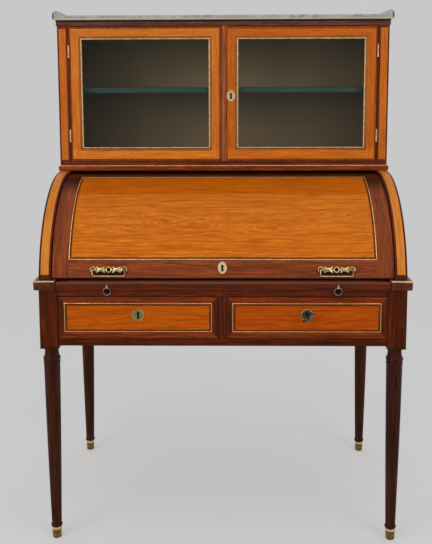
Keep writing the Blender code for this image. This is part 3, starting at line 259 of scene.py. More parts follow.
def rising(tree, vector, axis, low, high, least=0.0, most=1.0):
    """A share from least to most, as a place or a direction runs from low to high along an axis."""
    level = add(tree, "ShaderNodeSeparateXYZ", {0: vector}).outputs[axis]
    return add(tree, "ShaderNodeMapRange", {0: level, 1: low, 2: high, 3: least, 4: most}).outputs[0]


def streaks(tree, place, length, width, detail=2.0, clear=None):
    """Noise in streaks of about this length and width along the grain. Two levels clear it to 0 and 1."""
    squeeze = (1 / length, 1 / width, 1 / width)
    drawn = add(tree, "ShaderNodeVectorMath", {0: place, 1: squeeze}, operation="MULTIPLY").outputs[0]
    noise = add(tree, "ShaderNodeTexNoise", {"Vector": drawn, "Scale": 1.0, "Detail": detail}).outputs["Fac"]
    if clear:
        noise = add(tree, "ShaderNodeMapRange", {0: noise, 1: clear[0], 2: clear[1]}).outputs[0]
    return noise


def grain_place(tree, along):
    """Metres with the first axis along the grain: a veneer's own map, or an axis of the solid wood."""
    if along == "map":
        return add(tree, "ShaderNodeUVMap", uv_map=GRAIN_MAP).outputs["UV"]
    place = add(tree, "ShaderNodeTexCoord").outputs["Object"]
    turn = {"X": (0, 0, 0), "Y": (0, 0, -math.pi / 2), "Z": (0, math.pi / 2, 0)}[along]
    return add(tree, "ShaderNodeMapping", {"Vector": place, "Rotation": turn}).outputs["Vector"]


def wavy(tree, place, reach, heart=None):
    """Grain that sways by up to a reach, as in a sliced veneer. Round a heart line it closes in eyes."""
    sway = streaks(tree, place, 90 * MM, 20 * MM)
    lean = add(tree, "ShaderNodeMapRange", {0: sway, 1: 0.3, 2: 0.7, 3: -reach, 4: reach}).outputs[0]
    if heart:
        across = add(tree, "ShaderNodeSeparateXYZ", {0: place}).outputs["Y"]
        apart = add(tree, "ShaderNodeMath", {0: across, 1: heart}, operation="SUBTRACT").outputs[0]
        far = add(tree, "ShaderNodeMath", {0: apart}, operation="ABSOLUTE").outputs[0]
        near = add(tree, "ShaderNodeMapRange", {0: far, 1: 8 * MM, 2: 50 * MM, 3: 1.0, 4: 0.25}).outputs[0]
        lean = add(tree, "ShaderNodeMath", {0: lean, 1: near}, operation="MULTIPLY").outputs[0]
    shift = add(tree, "ShaderNodeCombineXYZ", {"Y": lean}).outputs[0]
    return add(tree, "ShaderNodeVectorMath", {0: place, 1: shift}, operation="ADD").outputs[0]


def wood_figure(tree, along, wood):
    """Colour, growth and height of polished wood, from its tones and the size of its growth streaks."""
    pale, middle, dark = wood["tones"]
    length, width = wood["streak"]
    place = wavy(tree, grain_place(tree, along), wood["sway"], wood.get("heart"))
    # Broad bands of colour, then growth streaks a few millimetres wide.
    bands = streaks(tree, place, 3.4 * length, 2.6 * width, clear=(0.40, 0.62))
    growth = streaks(tree, place, length, width, clear=(0.42, 0.66))
    # Pores are about 0.3 mm wide, and drawn at 1.3 mm so that they show in the picture.
    pores = streaks(tree, place, 22 * MM, 1.3 * MM, 1.0, clear=(0.56, 0.74))
    colour = coats(tree, pale, (middle, bands), (dark, growth, wood["contrast"]), (dark, pores, PORE_STAIN))
    height = add(tree, "ShaderNodeMath", {0: 1.0, 1: pores}, operation="SUBTRACT").outputs[0]
    return colour, growth, height


def polish(tree, colour, growth, height):
    """French polish over a figure: a thin, soft gloss with the pores just felt."""
    surface(
        tree,
        height,
        PORE_DEPTH,
        Base_Color=colour,
        Roughness=add(tree, "ShaderNodeMapRange", {0: growth, 3: 0.34, 4: 0.46}).outputs[0],
        IOR=1.45,
        Specular_IOR_Level=0.08,
        Coat_Weight=0.03,
        Coat_Roughness=0.18,
    )


def polished_wood(name, along, wood):
    """French-polished wood: clear streaked grain under a soft gloss."""
    material, tree, _ = blank(name)
    polish(tree, *wood_figure(tree, along, wood))
    return material


def two_tone_wood(name, along, level, lower, upper, blur=0.2 * MM):
    """Polished wood in one tone below a level and another above it: painted light on door rails and nosing,
    painted shade on stiles, and the tones of legs and blocks.
    """
    material, tree, place = blank(name)
    colour, growth, height = wood_figure(tree, along, lower)
    above = rising(tree, place, "Z", level - blur, level + blur)
    polish(tree, coats(tree, colour, (wood_figure(tree, along, upper)[0], above)), growth, height)
    return material


def shadowed(tree, place, colour, mounts):
    """A colour with painted shadow behind its mounts, each given by its low and high corners."""
    for low, high in mounts:
        middle = ((low.x + high.x) / 2, 0, (low.z + high.z) / 2)
        apart = add(tree, "ShaderNodeVectorMath", {0: place, 1: middle}, operation="SUBTRACT").outputs[0]
        shares = (2 / (high.x - low.x), 0, 2 / (high.z - low.z))
        scaled = add(tree, "ShaderNodeVectorMath", {0: apart, 1: shares}, operation="MULTIPLY").outputs[0]
        far = add(tree, "ShaderNodeVectorMath", {0: scaled}, operation="LENGTH").outputs["Value"]
        near = add(tree, "ShaderNodeMapRange", {0: far, 1: 0.78, 2: 1.1, 3: 0.92, 4: 0.0}).outputs[0]
        # Painted shadow: a near-black patch behind each mount.
        colour = coats(tree, colour, ("#150703", near))
    return colour


def shell_mahogany():
    """Polished mahogany of the cylinder: faded, with painted shadow behind its handles and painted shade at
    head, crown and foot.
    """
    material, tree, place = blank("waxed mahogany")
    colour, growth, height = wood_figure(tree, "X", FADED_MAHOGANY)
    handles = []
    for side, _ in SIDES:
        low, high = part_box(f"{side}_handle_plate")
        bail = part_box(f"{side}_handle_bail")[0].z
        # The painted shadow lies a little lower than the handle.
        handles.append((Vector((low.x, 0, bail - 1 * MM)), Vector((high.x, 0, high.z - 3 * MM))))
    colour = shadowed(tree, place, colour, handles)
    low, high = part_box("cylinder_shell")
    head = cylinder_axis().z + cylinder_radius() * math.sin(CYLINDER_HEAD_ANGLE)
    foot = low.z + CYLINDER_FOOT_SHADE
    # Painted shade: dark above the head string and on the crown, under the cabinet's base, and along the
    # lower edge.
    colour = coats(
        tree,
        colour,
        ("#2A1007", rising(tree, place, "Z", head, head + 0.4 * MM, 0.0, 0.8)),
        ("#1E0903", rising(tree, place, "Z", foot - 0.4 * MM, foot, 0.85, 0.0)),
        ("#0E0502", rising(tree, place, "Z", high.z - 1.6 * MM, high.z - 0.6 * MM, 0.0, 0.9)),
    )
    polish(tree, colour, growth, height)
    return material


def slide_mahogany():
    """Polished mahogany of the slide: painted shade inside its rings, a painted highlight on its front edge,
    and a painted sheen on its top.
    """
    material, tree, place = blank("waxed slide mahogany")
    colour, growth, height = wood_figure(tree, "X", MAHOGANY)
    # Painted shade in the hollows behind the pull rings.
    colour = shadowed(tree, place, colour, [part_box(f"{side}_pull_ring") for side, _ in SIDES])
    low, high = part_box("writing_slide")
    # Painted highlight along the front top edge, paler than the wood.
    edge = rising(tree, place, "Z", high.z - 2.4 * MM, high.z - 1.0 * MM)
    worn = rising(tree, place, "Y", low.y + 1.0 * MM, low.y + 2.0 * MM, 0.6, 0.0)
    # Painted sheen on faces that look up.
    facing = add(tree, "ShaderNodeNewGeometry").outputs["Normal"]
    top_sheen = rising(tree, facing, "Z", 0.9, 0.98, 0.0, 0.8)
    polish(tree, coats(tree, colour, ("#9A664A", edge, worn), ("#824F3C", top_sheen)), growth, height)
    return material


def moulding_mahogany():
    """Mahogany moulding with a brass edge let into its top: dull red-brown under a pale metal line."""
    material, tree, place = blank("brass-edged mahogany")
    wood, growth, height = wood_figure(tree, "Y", MAHOGANY)
    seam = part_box("writing_slide")[1].z + MOULDING_SEAM
    edge = rising(tree, place, "Z", seam, seam + 0.2 * MM)
    facing = add(tree, "ShaderNodeNewGeometry").outputs["Normal"]
    rubbed = ("#DCC496", streaks(tree, place, 30 * MM, 6 * MM))
    brass = coats(tree, "#B8A070", rubbed, ("#6E5E3C", rising(tree, facing, "Z", 0.75, 0.97)))
    wood_rough = add(tree, "ShaderNodeMapRange", {0: growth, 3: 0.34, 4: 0.46}).outputs[0]
    surface(
        tree,
        height,
        PORE_DEPTH,
        Base_Color=coats(tree, wood, (brass, edge)),
        Metallic=edge,
        Roughness=add(tree, "ShaderNodeMix", {0: edge, 2: wood_rough, 3: 0.46}).outputs[0],
        Specular_IOR_Level=0.2,
    )
    return material


def knobbed_satinwood():
    """Satinwood small drawer with a turned brass knob: everything in front of its face is metal."""
    material, tree, place = blank("satinwood with brass knobs")
    wood, growth, height = wood_figure(tree, "X", CHEEK_SATINWOOD)
    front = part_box("pigeonhole_nest")[0].y
    knob = rising(tree, place, "Y", front - 0.4 * MM, front - 0.2 * MM, 1.0, 0.0)
    surface(
        tree,
        height,
        PORE_DEPTH,
        Base_Color=coats(tree, wood, ("#B8985C", knob)),
        Metallic=knob,
        Roughness=add(tree, "ShaderNodeMapRange", {0: growth, 3: 0.32, 4: 0.42}).outputs[0],
    )
    return material


def worn_metal(name, bright, dull, rough, shade_below=None):
    """Cast or drawn metal that hands have polished: bright, with duller clouds and painted shade on its
    undersides.
    """
    material, tree, place = blank(name)
    tarnish = streaks(tree, place, 14 * MM, 9 * MM, 3.0, clear=(0.38, 0.72))
    # Casting grain of about 0.5 mm.
    grain = streaks(tree, place, 0.7 * MM, 0.5 * MM, 1.0)
    colour = coats(tree, bright, (dull, tarnish))
    if shade_below:
        # Painted shade on faces that look down.
        facing = add(tree, "ShaderNodeNewGeometry").outputs["Normal"]
        colour = coats(tree, colour, (shade_below, rising(tree, facing, "Z", -0.35, 0.0, 0.8, 0.0)))
    dulled = add(tree, "ShaderNodeMapRange", {0: tarnish, 3: rough, 4: rough + 0.16}).outputs[0]
    surface(tree, grain, 0.02 * MM, Base_Color=colour, Metallic=1.0, Roughness=dulled)
    return material


def sabot_brass():
    """Cast brass shoe: brown with age below, and rubbed bright on its rim."""
    material, tree, place = blank("aged cast brass")
    clouds = streaks(tree, place, 8 * MM, 5 * MM, 3.0, clear=(0.40, 0.68))
    rubbed = rising(tree, place, "Z", SABOT_RIM - 1.0 * MM, SABOT_RIM)
    colour = coats(tree, "#947440", ("#5A4520", clouds), ("#DDB98A", rubbed))
    dulled = add(tree, "ShaderNodeMapRange", {0: clouds, 3: 0.30, 4: 0.46}).outputs[0]
    surface(tree, clouds, 0.05 * MM, Base_Color=colour, Metallic=1.0, Roughness=dulled)
    return material


def honed_marble():
    """Honed grey-white marble: pale ground with grey-green clouds and thin darker veins, and a soft sheen."""
    material, tree, place = blank("honed marble")
    clouds = streaks(tree, place, 60 * MM, 34 * MM, 5.0, clear=(0.35, 0.68))
    flecks = streaks(tree, place, 11 * MM, 7 * MM, 4.0, clear=(0.50, 0.72))
    drifts = streaks(tree, place, 150 * MM, 70 * MM, 6.0)
    ridge = add(tree, "ShaderNodeMath", {0: drifts, 1: 0.5}, operation="SUBTRACT").outputs[0]
    ridge = add(tree, "ShaderNodeMath", {0: ridge}, operation="ABSOLUTE").outputs[0]
    vein = add(tree, "ShaderNodeMapRange", {0: ridge, 2: 0.030, 3: 0.75, 4: 0.0}).outputs[0]
    low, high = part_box("marble_top")
    aside = add(tree, "ShaderNodeVectorMath", {0: place}, operation="ABSOLUTE").outputs[0]
    ends = rising(tree, aside, "X", high.x - 8 * MM, high.x - 4.5 * MM, 0.0, 0.92)
    on_lip = rising(tree, aside, "X", high.x - 17 * MM, high.x - 16 * MM)
    lip = high.z - LIP_DROP
    crest = rising(tree, place, "Z", lip - 3 * MM, lip - 1 * MM, 0.0, 0.6)
    chipped = rising(tree, place, "Z", low.z + 2 * MM, low.z + 6 * MM, 0.7, 0.0)
    colour = coats(tree, "#AEACA2", ("#929187", clouds), ("#87867C", flecks), ("#75746B", vein))
    # Painted shade darkens the two ends and the crests of the side lips. The lower edge is chipped and paler.
    colour = coats(tree, colour, ("#2C2620", ends), ("#5E584C", crest, on_lip), ("#CFC7B9", chipped))
    surface(tree, flecks, 0.03 * MM, Base_Color=colour, Roughness=0.34, IOR=1.49)
    return material


def lining_cloth():
    """Plain woven lining: matt, with a faint speckle of crossing threads, and painted light and shade: darker
    at the top of each compartment and at the left.
    """
    # A lit tone and a shaded tone for painted light and shade; the shaded tone also colours the crossing
    # threads.
    faded, dim = "#DCAE8A", "#6C5844"
    material, tree, place = blank("woven taupe lining")
    # Threads are 0.5 mm apart, and drawn at 3 mm so that they show through the glass.
    wave = {"Vector": place, "Scale": 0.314 / (3 * MM), "Distortion": 1.5, "Detail": 1.0}
    warp = add(tree, "ShaderNodeTexWave", wave, bands_direction="X").outputs["Fac"]
    weft = add(tree, "ShaderNodeTexWave", wave, bands_direction="Z").outputs["Fac"]
    weave = add(tree, "ShaderNodeMath", {0: warp, 1: weft}, operation="MULTIPLY").outputs[0]
    back_low, back_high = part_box("vitrine_back")
    shelf_low, shelf_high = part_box("vitrine_shelf")
    # Painted shade: darker at the top of each compartment, lighter lower down, and darker towards the left.
    upper = rising(tree, place, "Z", shelf_high.z, back_high.z, 1.0, 0.16)
    lower = rising(tree, place, "Z", back_low.z, shelf_low.z, 1.0, 0.2)
    above = rising(tree, place, "Z", shelf_low.z, shelf_high.z)
    down = add(tree, "ShaderNodeMix", {0: above, 2: lower, 3: upper}).outputs[0]
    across = rising(tree, place, "X", 0.95 * back_low.x, 0.25 * back_low.x, 0.3, 1.0)
    colour = coats(tree, dim, (faded, down, across), (dim, weave, 0.16))
    surface(tree, weave, 0.10 * MM, Base_Color=colour, Roughness=0.92, Sheen_Weight=0.15)
    return material


def shelf_paint():
    """Old blue-green paint on the shelf: matt, a little uneven under the brush."""
    material, tree, place = blank("brushed blue-green paint")
    brush = streaks(tree, place, 90 * MM, 2.5 * MM, 3.0)
    worn = add(tree, "ShaderNodeMapRange", {0: brush, 1: 0.35, 2: 0.70}).outputs[0]
    surface(tree, brush, 0.05 * MM, Base_Color=coats(tree, "#4E7A75", ("#385A55", worn)), Roughness=0.5)
    return material


def slide_leather():
    """Calf leather on the slide: soft brown, with a fine pebble and a low shine."""
    material, tree, place = blank("dyed calf leather")
    # The pebble is about 1 mm, and drawn at 2 mm so that it shows.
    cells = add(tree, "ShaderNodeTexVoronoi", {"Vector": place, "Scale": 1 / (2 * MM)}).outputs["Distance"]
    rubbed = streaks(tree, place, 120 * MM, 90 * MM, 4.0, clear=(0.35, 0.68))
    surface(tree, cells, 0.12 * MM, Base_Color=coats(tree, "#5B3A22", ("#6F4A2C", rubbed)), Roughness=0.52)
    return material


def ebony_and_shadow_finish():
    """Ebony line: nearly black wood, polished flush. It also serves as painted shadow round the drawers and
    under the marble.
    """
    material, tree, place = blank("polished ebony and painted shadow")
    fine = streaks(tree, place, 9 * MM, 2 * MM)
    colour = coats(tree, "#150C08", ("#26160E", fine))
    surface(tree, fine, 0.02 * MM, Base_Color=colour, Roughness=0.34, Specular_IOR_Level=0.15)
    return material


def bush_iron():
    """Iron bush of a lock, black to stand for the shade inside a keyhole: rough, with no more than a dull
    glint.
    """
    material, tree, place = blank("black iron for painted keyhole shade")
    pits = streaks(tree, place, 2 * MM, 2 * MM)
    colour = coats(tree, "#0B0908", ("#191412", pits))
    surface(tree, pits, 0.05 * MM, Base_Color=colour, Metallic=0.6, Roughness=0.7)
    return material


def pane_glass():
    """Old drawn glass: clear, faintly green, with a weak mirror that grows at a slant."""
    material, tree, place = blank("drawn pane glass")
    ripple = streaks(tree, place, 160 * MM, 60 * MM, 1.0)
    raised = add(tree, "ShaderNodeBump", {"Strength": 1.0, "Distance": 0.15 * MM, "Height": ripple})
    clear = add(tree, "ShaderNodeBsdfTransparent", {"Color": linear("#EEF3F0")})
    mirror = add(tree, "ShaderNodeBsdfGlossy", {"Roughness": 0.05, "Normal": raised.outputs["Normal"]})
    share = add(tree, "ShaderNodeFresnel", {"IOR": 1.38})
    both = add(tree, "ShaderNodeMixShader", {0: share.outputs[0], 1: clear.outputs[0], 2: mirror.outputs[0]})
    add(tree, "ShaderNodeOutputMaterial", {"Surface": both.outputs[0]})
    return material


def rays(tree):
    """1 for what the camera sees directly or through glass, and 1 for what a shiny surface mirrors."""
    path = add(tree, "ShaderNodeLightPath").outputs
    both = {0: path["Is Camera Ray"], 1: path["Is Transmission Ray"]}
    return add(tree, "ShaderNodeMath", both, operation="MAXIMUM").outputs[0], path["Is Glossy Ray"]


def studio_paper():
    """Pale grey paper on the floor: it keeps the desk's soft shadow, and far off runs into the backdrop."""
    material, tree, place = blank("pale grey paper")
    seen, mirrored = rays(tree)
    far = add(tree, "ShaderNodeVectorMath", {0: place}, operation="LENGTH").outputs["Value"]
    near, away = PAPER_EVEN
    even = add(tree, "ShaderNodeMapRange", {0: far, 1: near, 2: away, 3: 0.45, 4: 1.0}).outputs[0]
    either = add(tree, "ShaderNodeMath", {0: seen, 1: mirrored}, operation="MAXIMUM").outputs[0]
    share = add(tree, "ShaderNodeMath", {0: even, 1: either}, operation="MULTIPLY").outputs[0]
    paper = add(tree, "ShaderNodeBsdfDiffuse", {"Color": linear("#F2F2F2")})
    glow = add(tree, "ShaderNodeEmission", {"Color": linear(BACKDROP), "Strength": 1.0})
    lit = add(tree, "ShaderNodeMixShader", {0: share, 1: paper.outputs[0], 2: glow.outputs[0]})
    # The paper ends in front of the desk, and polished fronts mirror the dim room there.
    in_front = rising(tree, place, "Y", *PAPER_FRONT, 1.0, 0.0)
    dim_share = add(tree, "ShaderNodeMath", {0: in_front, 1: mirrored}, operation="MULTIPLY").outputs[0]
    dim = add(tree, "ShaderNodeEmission", {"Color": linear(DIM_ROOM), "Strength": 1.0})
    both = add(tree, "ShaderNodeMixShader", {0: dim_share, 1: lit.outputs[0], 2: dim.outputs[0]})
    add(tree, "ShaderNodeOutputMaterial", {"Surface": both.outputs[0]})
    return material


def mapped(name, build):
    """A piece from a mesh builder, with its grain map, shaded flat."""
    bm = bmesh.new()
    layer = bm.loops.layers.uv.new(GRAIN_MAP)
    build(bm, layer)
    bmesh.ops.recalc_face_normals(bm, faces=bm.faces)
    mesh = bpy.data.meshes.new(name)
    bm.to_mesh(mesh)
    bm.free()
    piece = bpy.data.objects.new(name, mesh)
    bpy.context.scene.collection.objects.link(piece)
    return piece


def fit(piece, material, body, upright=None, rounded=None):
    """Finishes a piece and hangs it on its body. Upright strips may have a veneer of their own."""
    piece.data.materials.append(material)
    if rounded:
        piece.data.shade_smooth()
        piece.data.set_sharp_from_angle(angle=rounded)
    if upright:
        piece.data.materials.append(upright)
        sides = piece.data.attributes["upright"].data
        for face in piece.data.polygons:
            face.material_index = int(sides[face.index].value)
    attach(piece, body)
    return piece


def on_face(face):
    """Lays flat work on an upright face: along the desk, up, and out towards the sitter."""
    return lambda u, v, h: Vector((u, face - h, v))


def on_top(level):
    """Lays flat work on a level top: along the desk, back, and up."""
    return lambda u, v, h: Vector((u, v, level + h))


def on_curve(axis, radius):
    """Bends flat work round a cylinder: along the desk, up the curve and then level, and out."""

    def lay(u, v, h):
        angle = min(v / radius, math.pi / 2)
        level = v - angle * radius
        out = radius + h
        return Vector((u, axis.y - out * math.cos(angle) + level, axis.z + out * math.sin(angle)))

    return lay


def inset(rect, by):
    """A rectangle made smaller by one margin, or by four from the left round to the head."""
    left, foot, right, head = by if isinstance(by, tuple) else 4 * (by,)
    return (rect[0] + left, rect[1] + foot, rect[2] - right, rect[3] - head)


def mitred_frame(name, outer, inner, profile, lay):
    """Four strips round a rectangle, mitred at the corners, with a section drawn from outside to inside."""
    upright_steps = math.ceil(max(outer[3] - outer[1], CURVE_STEP) / CURVE_STEP)
    frame_steps = (1, upright_steps, 1, upright_steps)

    def build(bm, layer):
        upright_faces = bm.faces.layers.int.new("upright")
        rings = []
        for share, height in profile:
            rect = [a + (b - a) * share for a, b in zip(outer, inner)]
            corners = [(rect[0], rect[1]), (rect[2], rect[1]), (rect[2], rect[3]), (rect[0], rect[3])]
            ring = []
            for side in range(4):
                start, end = corners[side], corners[(side + 1) % 4]
                steps = frame_steps[side]
                for i in range(steps):
                    u = start[0] + (end[0] - start[0]) * i / steps
                    v = start[1] + (end[1] - start[1]) * i / steps
                    ring.append((bm.verts.new(lay(u, v, height)), side, u, v))
            rings.append(ring)
        for ring, other in zip(rings, rings[1:] + rings[:1]):
            for i in range(len(ring)):
                j = (i + 1) % len(ring)
                face = bm.faces.new((ring[i][0], ring[j][0], other[j][0], other[i][0]))
                side = ring[i][1]
                upright = side % 2
                face[upright_faces] = upright
                for loop, (_, _, u, v) in zip(face.loops, (ring[i], ring[j], other[j], other[i])):
                    along, across = (v, u) if upright else (u, v)
                    # Each strip is cut from another place in the leaf.
                    loop[layer].uv = (along + 0.31 * side, across + 0.17 * side)

    return mapped(name, build)


def panel(name, rect, lift, lay, upright=False, shift=0.0):
    """A veneer sheet over a rectangle, with its grain along the desk or up it."""

    def build(bm, layer):
        steps = math.ceil((rect[3] - rect[1]) / CURVE_STEP)
        rows = []
        for height in (lift, 0.0):
            for i in range(steps + 1):
                v = rect[1] + (rect[3] - rect[1]) * i / steps
                rows.append([(bm.verts.new(lay(u, v, height)), u, v) for u in (rect[0], rect[2])])
        top, foot = rows[: steps + 1], rows[steps + 1 :]
        quads = []
        for i in range(steps):
            quads.append((top[i][0], top[i][1], top[i + 1][1], top[i + 1][0]))
            quads.append((foot[i][1], foot[i][0], foot[i + 1][0], foot[i + 1][1]))
            quads.append((top[i][0], top[i + 1][0], foot[i + 1][0], foot[i][0]))
            quads.append((top[i][1], foot[i][1], foot[i + 1][1], top[i + 1][1]))
        quads.append((top[0][1], top[0][0], foot[0][0], foot[0][1]))
        quads.append((top[-1][0], top[-1][1], foot[-1][1], foot[-1][0]))
        for quad in quads:
            face = bm.faces.new([corner[0] for corner in quad])
            for loop, (_, u, v) in zip(face.loops, quad):
                loop[layer].uv = (v + shift, u + shift) if upright else (u + shift, v + shift)

    return mapped(name, build)


def cut_lock_hole(piece, centre, along):
    """Takes a round hole out of a veneer behind an escutcheon, so that the keyhole stays open."""
    cutter_mesh = bpy.data.meshes.new("lock hole")
    bm = bmesh.new()
    bmesh.ops.create_cone(
        bm, cap_ends=True, segments=32, radius1=LOCK_HOLE, radius2=LOCK_HOLE, depth=LOCK_DEPTH
    )
    bm.transform(Matrix.Translation(centre) @ along.to_track_quat("Z", "Y").to_matrix().to_4x4())
    bm.to_mesh(cutter_mesh)
    bm.free()
    cutter = bpy.data.objects.new("lock hole", cutter_mesh)
    bpy.context.scene.collection.objects.link(cutter)
    modifier = piece.modifiers.new("lock hole", "BOOLEAN")
    modifier.operation = "DIFFERENCE"
    modifier.solver = "EXACT"
    modifier.object = cutter
    graph = bpy.context.evaluated_depsgraph_get()
    piece.data = bpy.data.meshes.new_from_object(piece.evaluated_get(graph))
    piece.modifiers.clear()
    bpy.data.objects.remove(cutter, do_unlink=True)


def flat_section(lift):
    """Section of a veneer strip."""
    return ((0.0, 0.0), (0.0, lift), (1.0, lift), (1.0, 0.0))


def round_section(lift):
    """Section of a brass string, rounded where it stands proud."""
    shares = [i / STRING_STEPS for i in range(1, STRING_STEPS)]
    arc = [(share, lift * math.sin(math.pi * share)) for share in shares]
    return ((0.0, 0.0), *arc, (1.0, 0.0))


def string_frames(name, rect, lay, body, brass, dark, lift):
    """A brass string round a rectangle and a dark line inside it. Returns the rectangle that they leave."""
    brass_in = inset(rect, brass)
    line = mitred_frame(f"{name}_brass_string", rect, brass_in, round_section(lift), lay)
    fit(line, string_brass, body, rounded=ROUND_ANGLE)
    dark_in = inset(brass_in, dark)
    line = mitred_frame(f"{name}_dark_string", brass_in, dark_in, flat_section(VENEER), lay)
    fit(line, string_mahogany, body)
    return dark_in


def half_round(name, rect, lift, lay):
    """An upright moulding with a rounded face over a rectangle."""
    width = rect[2] - rect[0]

    def build(bm, layer):
        ends = []
        for v in (rect[1], rect[3]):
            across = [(rect[0] + width * share, height) for share, height in round_section(lift)]
            ends.append([(bm.verts.new(lay(u, v, height)), u, v) for u, height in across])
        foot, head = ends
        for i in range(len(foot)):
            j = (i + 1) % len(foot)
            quad = (foot[i], foot[j], head[j], head[i])
            face = bm.faces.new([corner[0] for corner in quad])
            for loop, (_, u, v) in zip(face.loops, quad):
                loop[layer].uv = (v, u)
        for end in ends:
            bm.faces.new([corner[0] for corner in end])

    return mapped(name, build)


def middle_of(node):
    """Middle of a solid's box."""
    low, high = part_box(node)
    return (low + high) / 2


def skin(bm, rings):
    """Faces between each ring of points and the next."""
    for ring, other in zip(rings, rings[1:]):
        for i in range(len(ring)):
            j = (i + 1) % len(ring)
            bm.faces.new((ring[i], ring[j], other[j], other[i]))


def on_plate(node, tilt):
    """Lays work on the front of an escutcheon that leans back by a tilt, from its middle."""
    out = Vector((0, -math.cos(tilt), math.sin(tilt)))
    up = Vector((0, math.sin(tilt), math.cos(tilt)))
    front = middle_of(node) + out * ESCUTCHEON_PLATE / 2
    return lambda u, v, h: front + Vector((u, 0, 0)) + v * up + h * out


def rim_escutcheon(node, body, metal, tilt=0.0):
    """A raised bead round the edge of an escutcheon."""
    low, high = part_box(node)
    half = ((high.x - low.x) / 2 - EASED, (high.z - low.z) / 2 / math.cos(tilt) - EASED)
    lay = on_plate(node, tilt)

    def build(bm, layer):
        rings = []
        for share, height in round_section(RIM_LIFT):
            wide, tall = (reach - share * RIM_WIDTH for reach in half)
            turns = [math.tau * i / RIM_STEPS for i in range(RIM_STEPS)]
            spots = [(wide * math.cos(turn), tall * math.sin(turn)) for turn in turns]
            rings.append([bm.verts.new(lay(u, v, height)) for u, v in spots])
        skin(bm, rings + rings[:1])

    fit(mapped(f"{node}_rim", build), metal, body, rounded=ROUND_ANGLE)


def bush_keyhole(node, body, tilt=0.0):
    """The black iron bush of a keyhole, round above and straight below; its black is painted shade."""
    lay = on_plate(node, tilt)
    outline = []
    for i in range(BUSH_STEPS + 1):
        turn = math.radians(-50 + 280 * i / BUSH_STEPS)
        outline.append((BUSH_RADIUS * math.cos(turn), BUSH_RISE + BUSH_RADIUS * math.sin(turn)))
    outline += [(-BUSH_FOOT, -BUSH_DROP), (BUSH_FOOT, -BUSH_DROP)]

    def build(bm, layer):
        front = [bm.verts.new(lay(u, v, VENEER)) for u, v in outline]
        back = [bm.verts.new(lay(u, v, 0.0)) for u, v in outline]
        bm.faces.new(front)
        bm.faces.new(back)
        skin(bm, (front, back))

    fit(mapped(f"{node}_bush", build), lock_iron, body)


def dress_drawer(side):
    """Edge line, banding, strings and field of a frieze drawer."""
    body = f"{side}_drawer"
    low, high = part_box(f"{side}_drawer_front")
    lay = on_face(low.y)
    rect = inset((low.x, low.z, high.x, high.z), VENEER)
    # The edge line is partly painted shadow of the gap round the drawer.
    edge = inset(rect, DRAWER_EDGE)
    fit(mitred_frame(f"{side}_drawer_edge", rect, edge, flat_section(VENEER), lay), ebony_and_shadow_line, body)
    line = inset(rect, DRAWER_BANDING)
    banding = mitred_frame(f"{side}_drawer_banding", edge, line, flat_section(VENEER), lay)
    fit(banding, banding_mahogany, body, end_mahogany)
    rect = string_frames(body, line, lay, body, DRAWER_BRASS, DRAWER_DARK, STRING_LIFT)
    field = panel(f"{side}_drawer_field", rect, VENEER, lay, shift=low.x)
    lock = middle_of(f"{side}_drawer_escutcheon")
    cut_lock_hole(field, lock, Vector((0, 1, 0)))
    fit(field, drawer_satinwood[side], body)
    rim_escutcheon(f"{side}_drawer_escutcheon", body, aged_rim)
    bush_keyhole(f"{side}_drawer_escutcheon", body)


def cylinder_axis():
    """A point on the pivots of the cylinder."""
    return Vector(next(j for j in frame["joints"] if j["name"] == "cylinder_roll")["pos_m"])


def cylinder_radius():
    """Radius of the cylinder's outside, from the lower edge of its shell."""
    low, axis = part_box("cylinder_shell")[0], cylinder_axis()
    return math.hypot(axis.y - low.y, low.z - axis.z)


def dress_cylinder():
    """Two leaves of satinwood in their strings on the cylinder, and the mahogany stiles at its ends."""
    low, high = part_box("cylinder_shell")
    axis = cylinder_axis()
    radius = cylinder_radius()
    lay = on_curve(axis, radius)
    foot = math.asin((low.z - axis.z) / radius) * radius
    line = (
        low.x + CYLINDER_STILE,
        CYLINDER_FOOT_ANGLE * radius,
        high.x - CYLINDER_STILE,
        CYLINDER_HEAD_ANGLE * radius,
    )
    left, bottom, right, top = string_frames(
        "cylinder", line, lay, "cylinder", CYLINDER_BRASS, CYLINDER_DARK, CYLINDER_STRING_LIFT
    )
    joint = CYLINDER_JOINT_ANGLE * radius
    lower = panel("cylinder_lower_leaf", (left, bottom, right, joint), VENEER, lay)
    upper = panel("cylinder_upper_leaf", (left, joint, right, top), VENEER, lay)
    for leaf, veneer in ((lower, cylinder_satinwood), (upper, upper_satinwood)):
        fit(leaf, veneer, "cylinder", rounded=BOARD_ANGLE)
    lock = middle_of("cylinder_escutcheon")
    tilt = math.atan2(lock.z - axis.z, axis.y - lock.y)
    rim_escutcheon("cylinder_escutcheon", "cylinder", string_brass, tilt)
    bush_keyhole("cylinder_escutcheon", "cylinder", tilt)
    for side, ends in (("left", (low.x + VENEER, line[0])), ("right", (line[2], high.x - VENEER))):
        rect = (ends[0], foot + CYLINDER_FOOT_SHADE, ends[1], line[3])
        stile = panel(f"{side}_cylinder_stile", rect, VENEER, lay, upright=True, shift=ends[0])
        fit(stile, shaded_stile, "cylinder", rounded=BOARD_ANGLE)


def line_stile_band(side, sign, part, edges, foot, head, lay):
    """Lines beside an upright band: ebony at the desk's outer side and mahogany at the inner."""
    for edge in (edges[0] - FINE_LINE, edges[1]):
        outer = (edge > edges[0]) == (sign > 0)
        name = f"{side}_{part}_{'outer' if outer else 'inner'}_line"
        line = panel(name, (edge, foot, edge + FINE_LINE, head), VENEER, lay, upright=True)
        if outer:
            fit(line, ebony_and_shadow_line, "carcass", rounded=BOARD_ANGLE)
        else:
            fit(line, stile_mahogany, "carcass", rounded=BOARD_ANGLE)


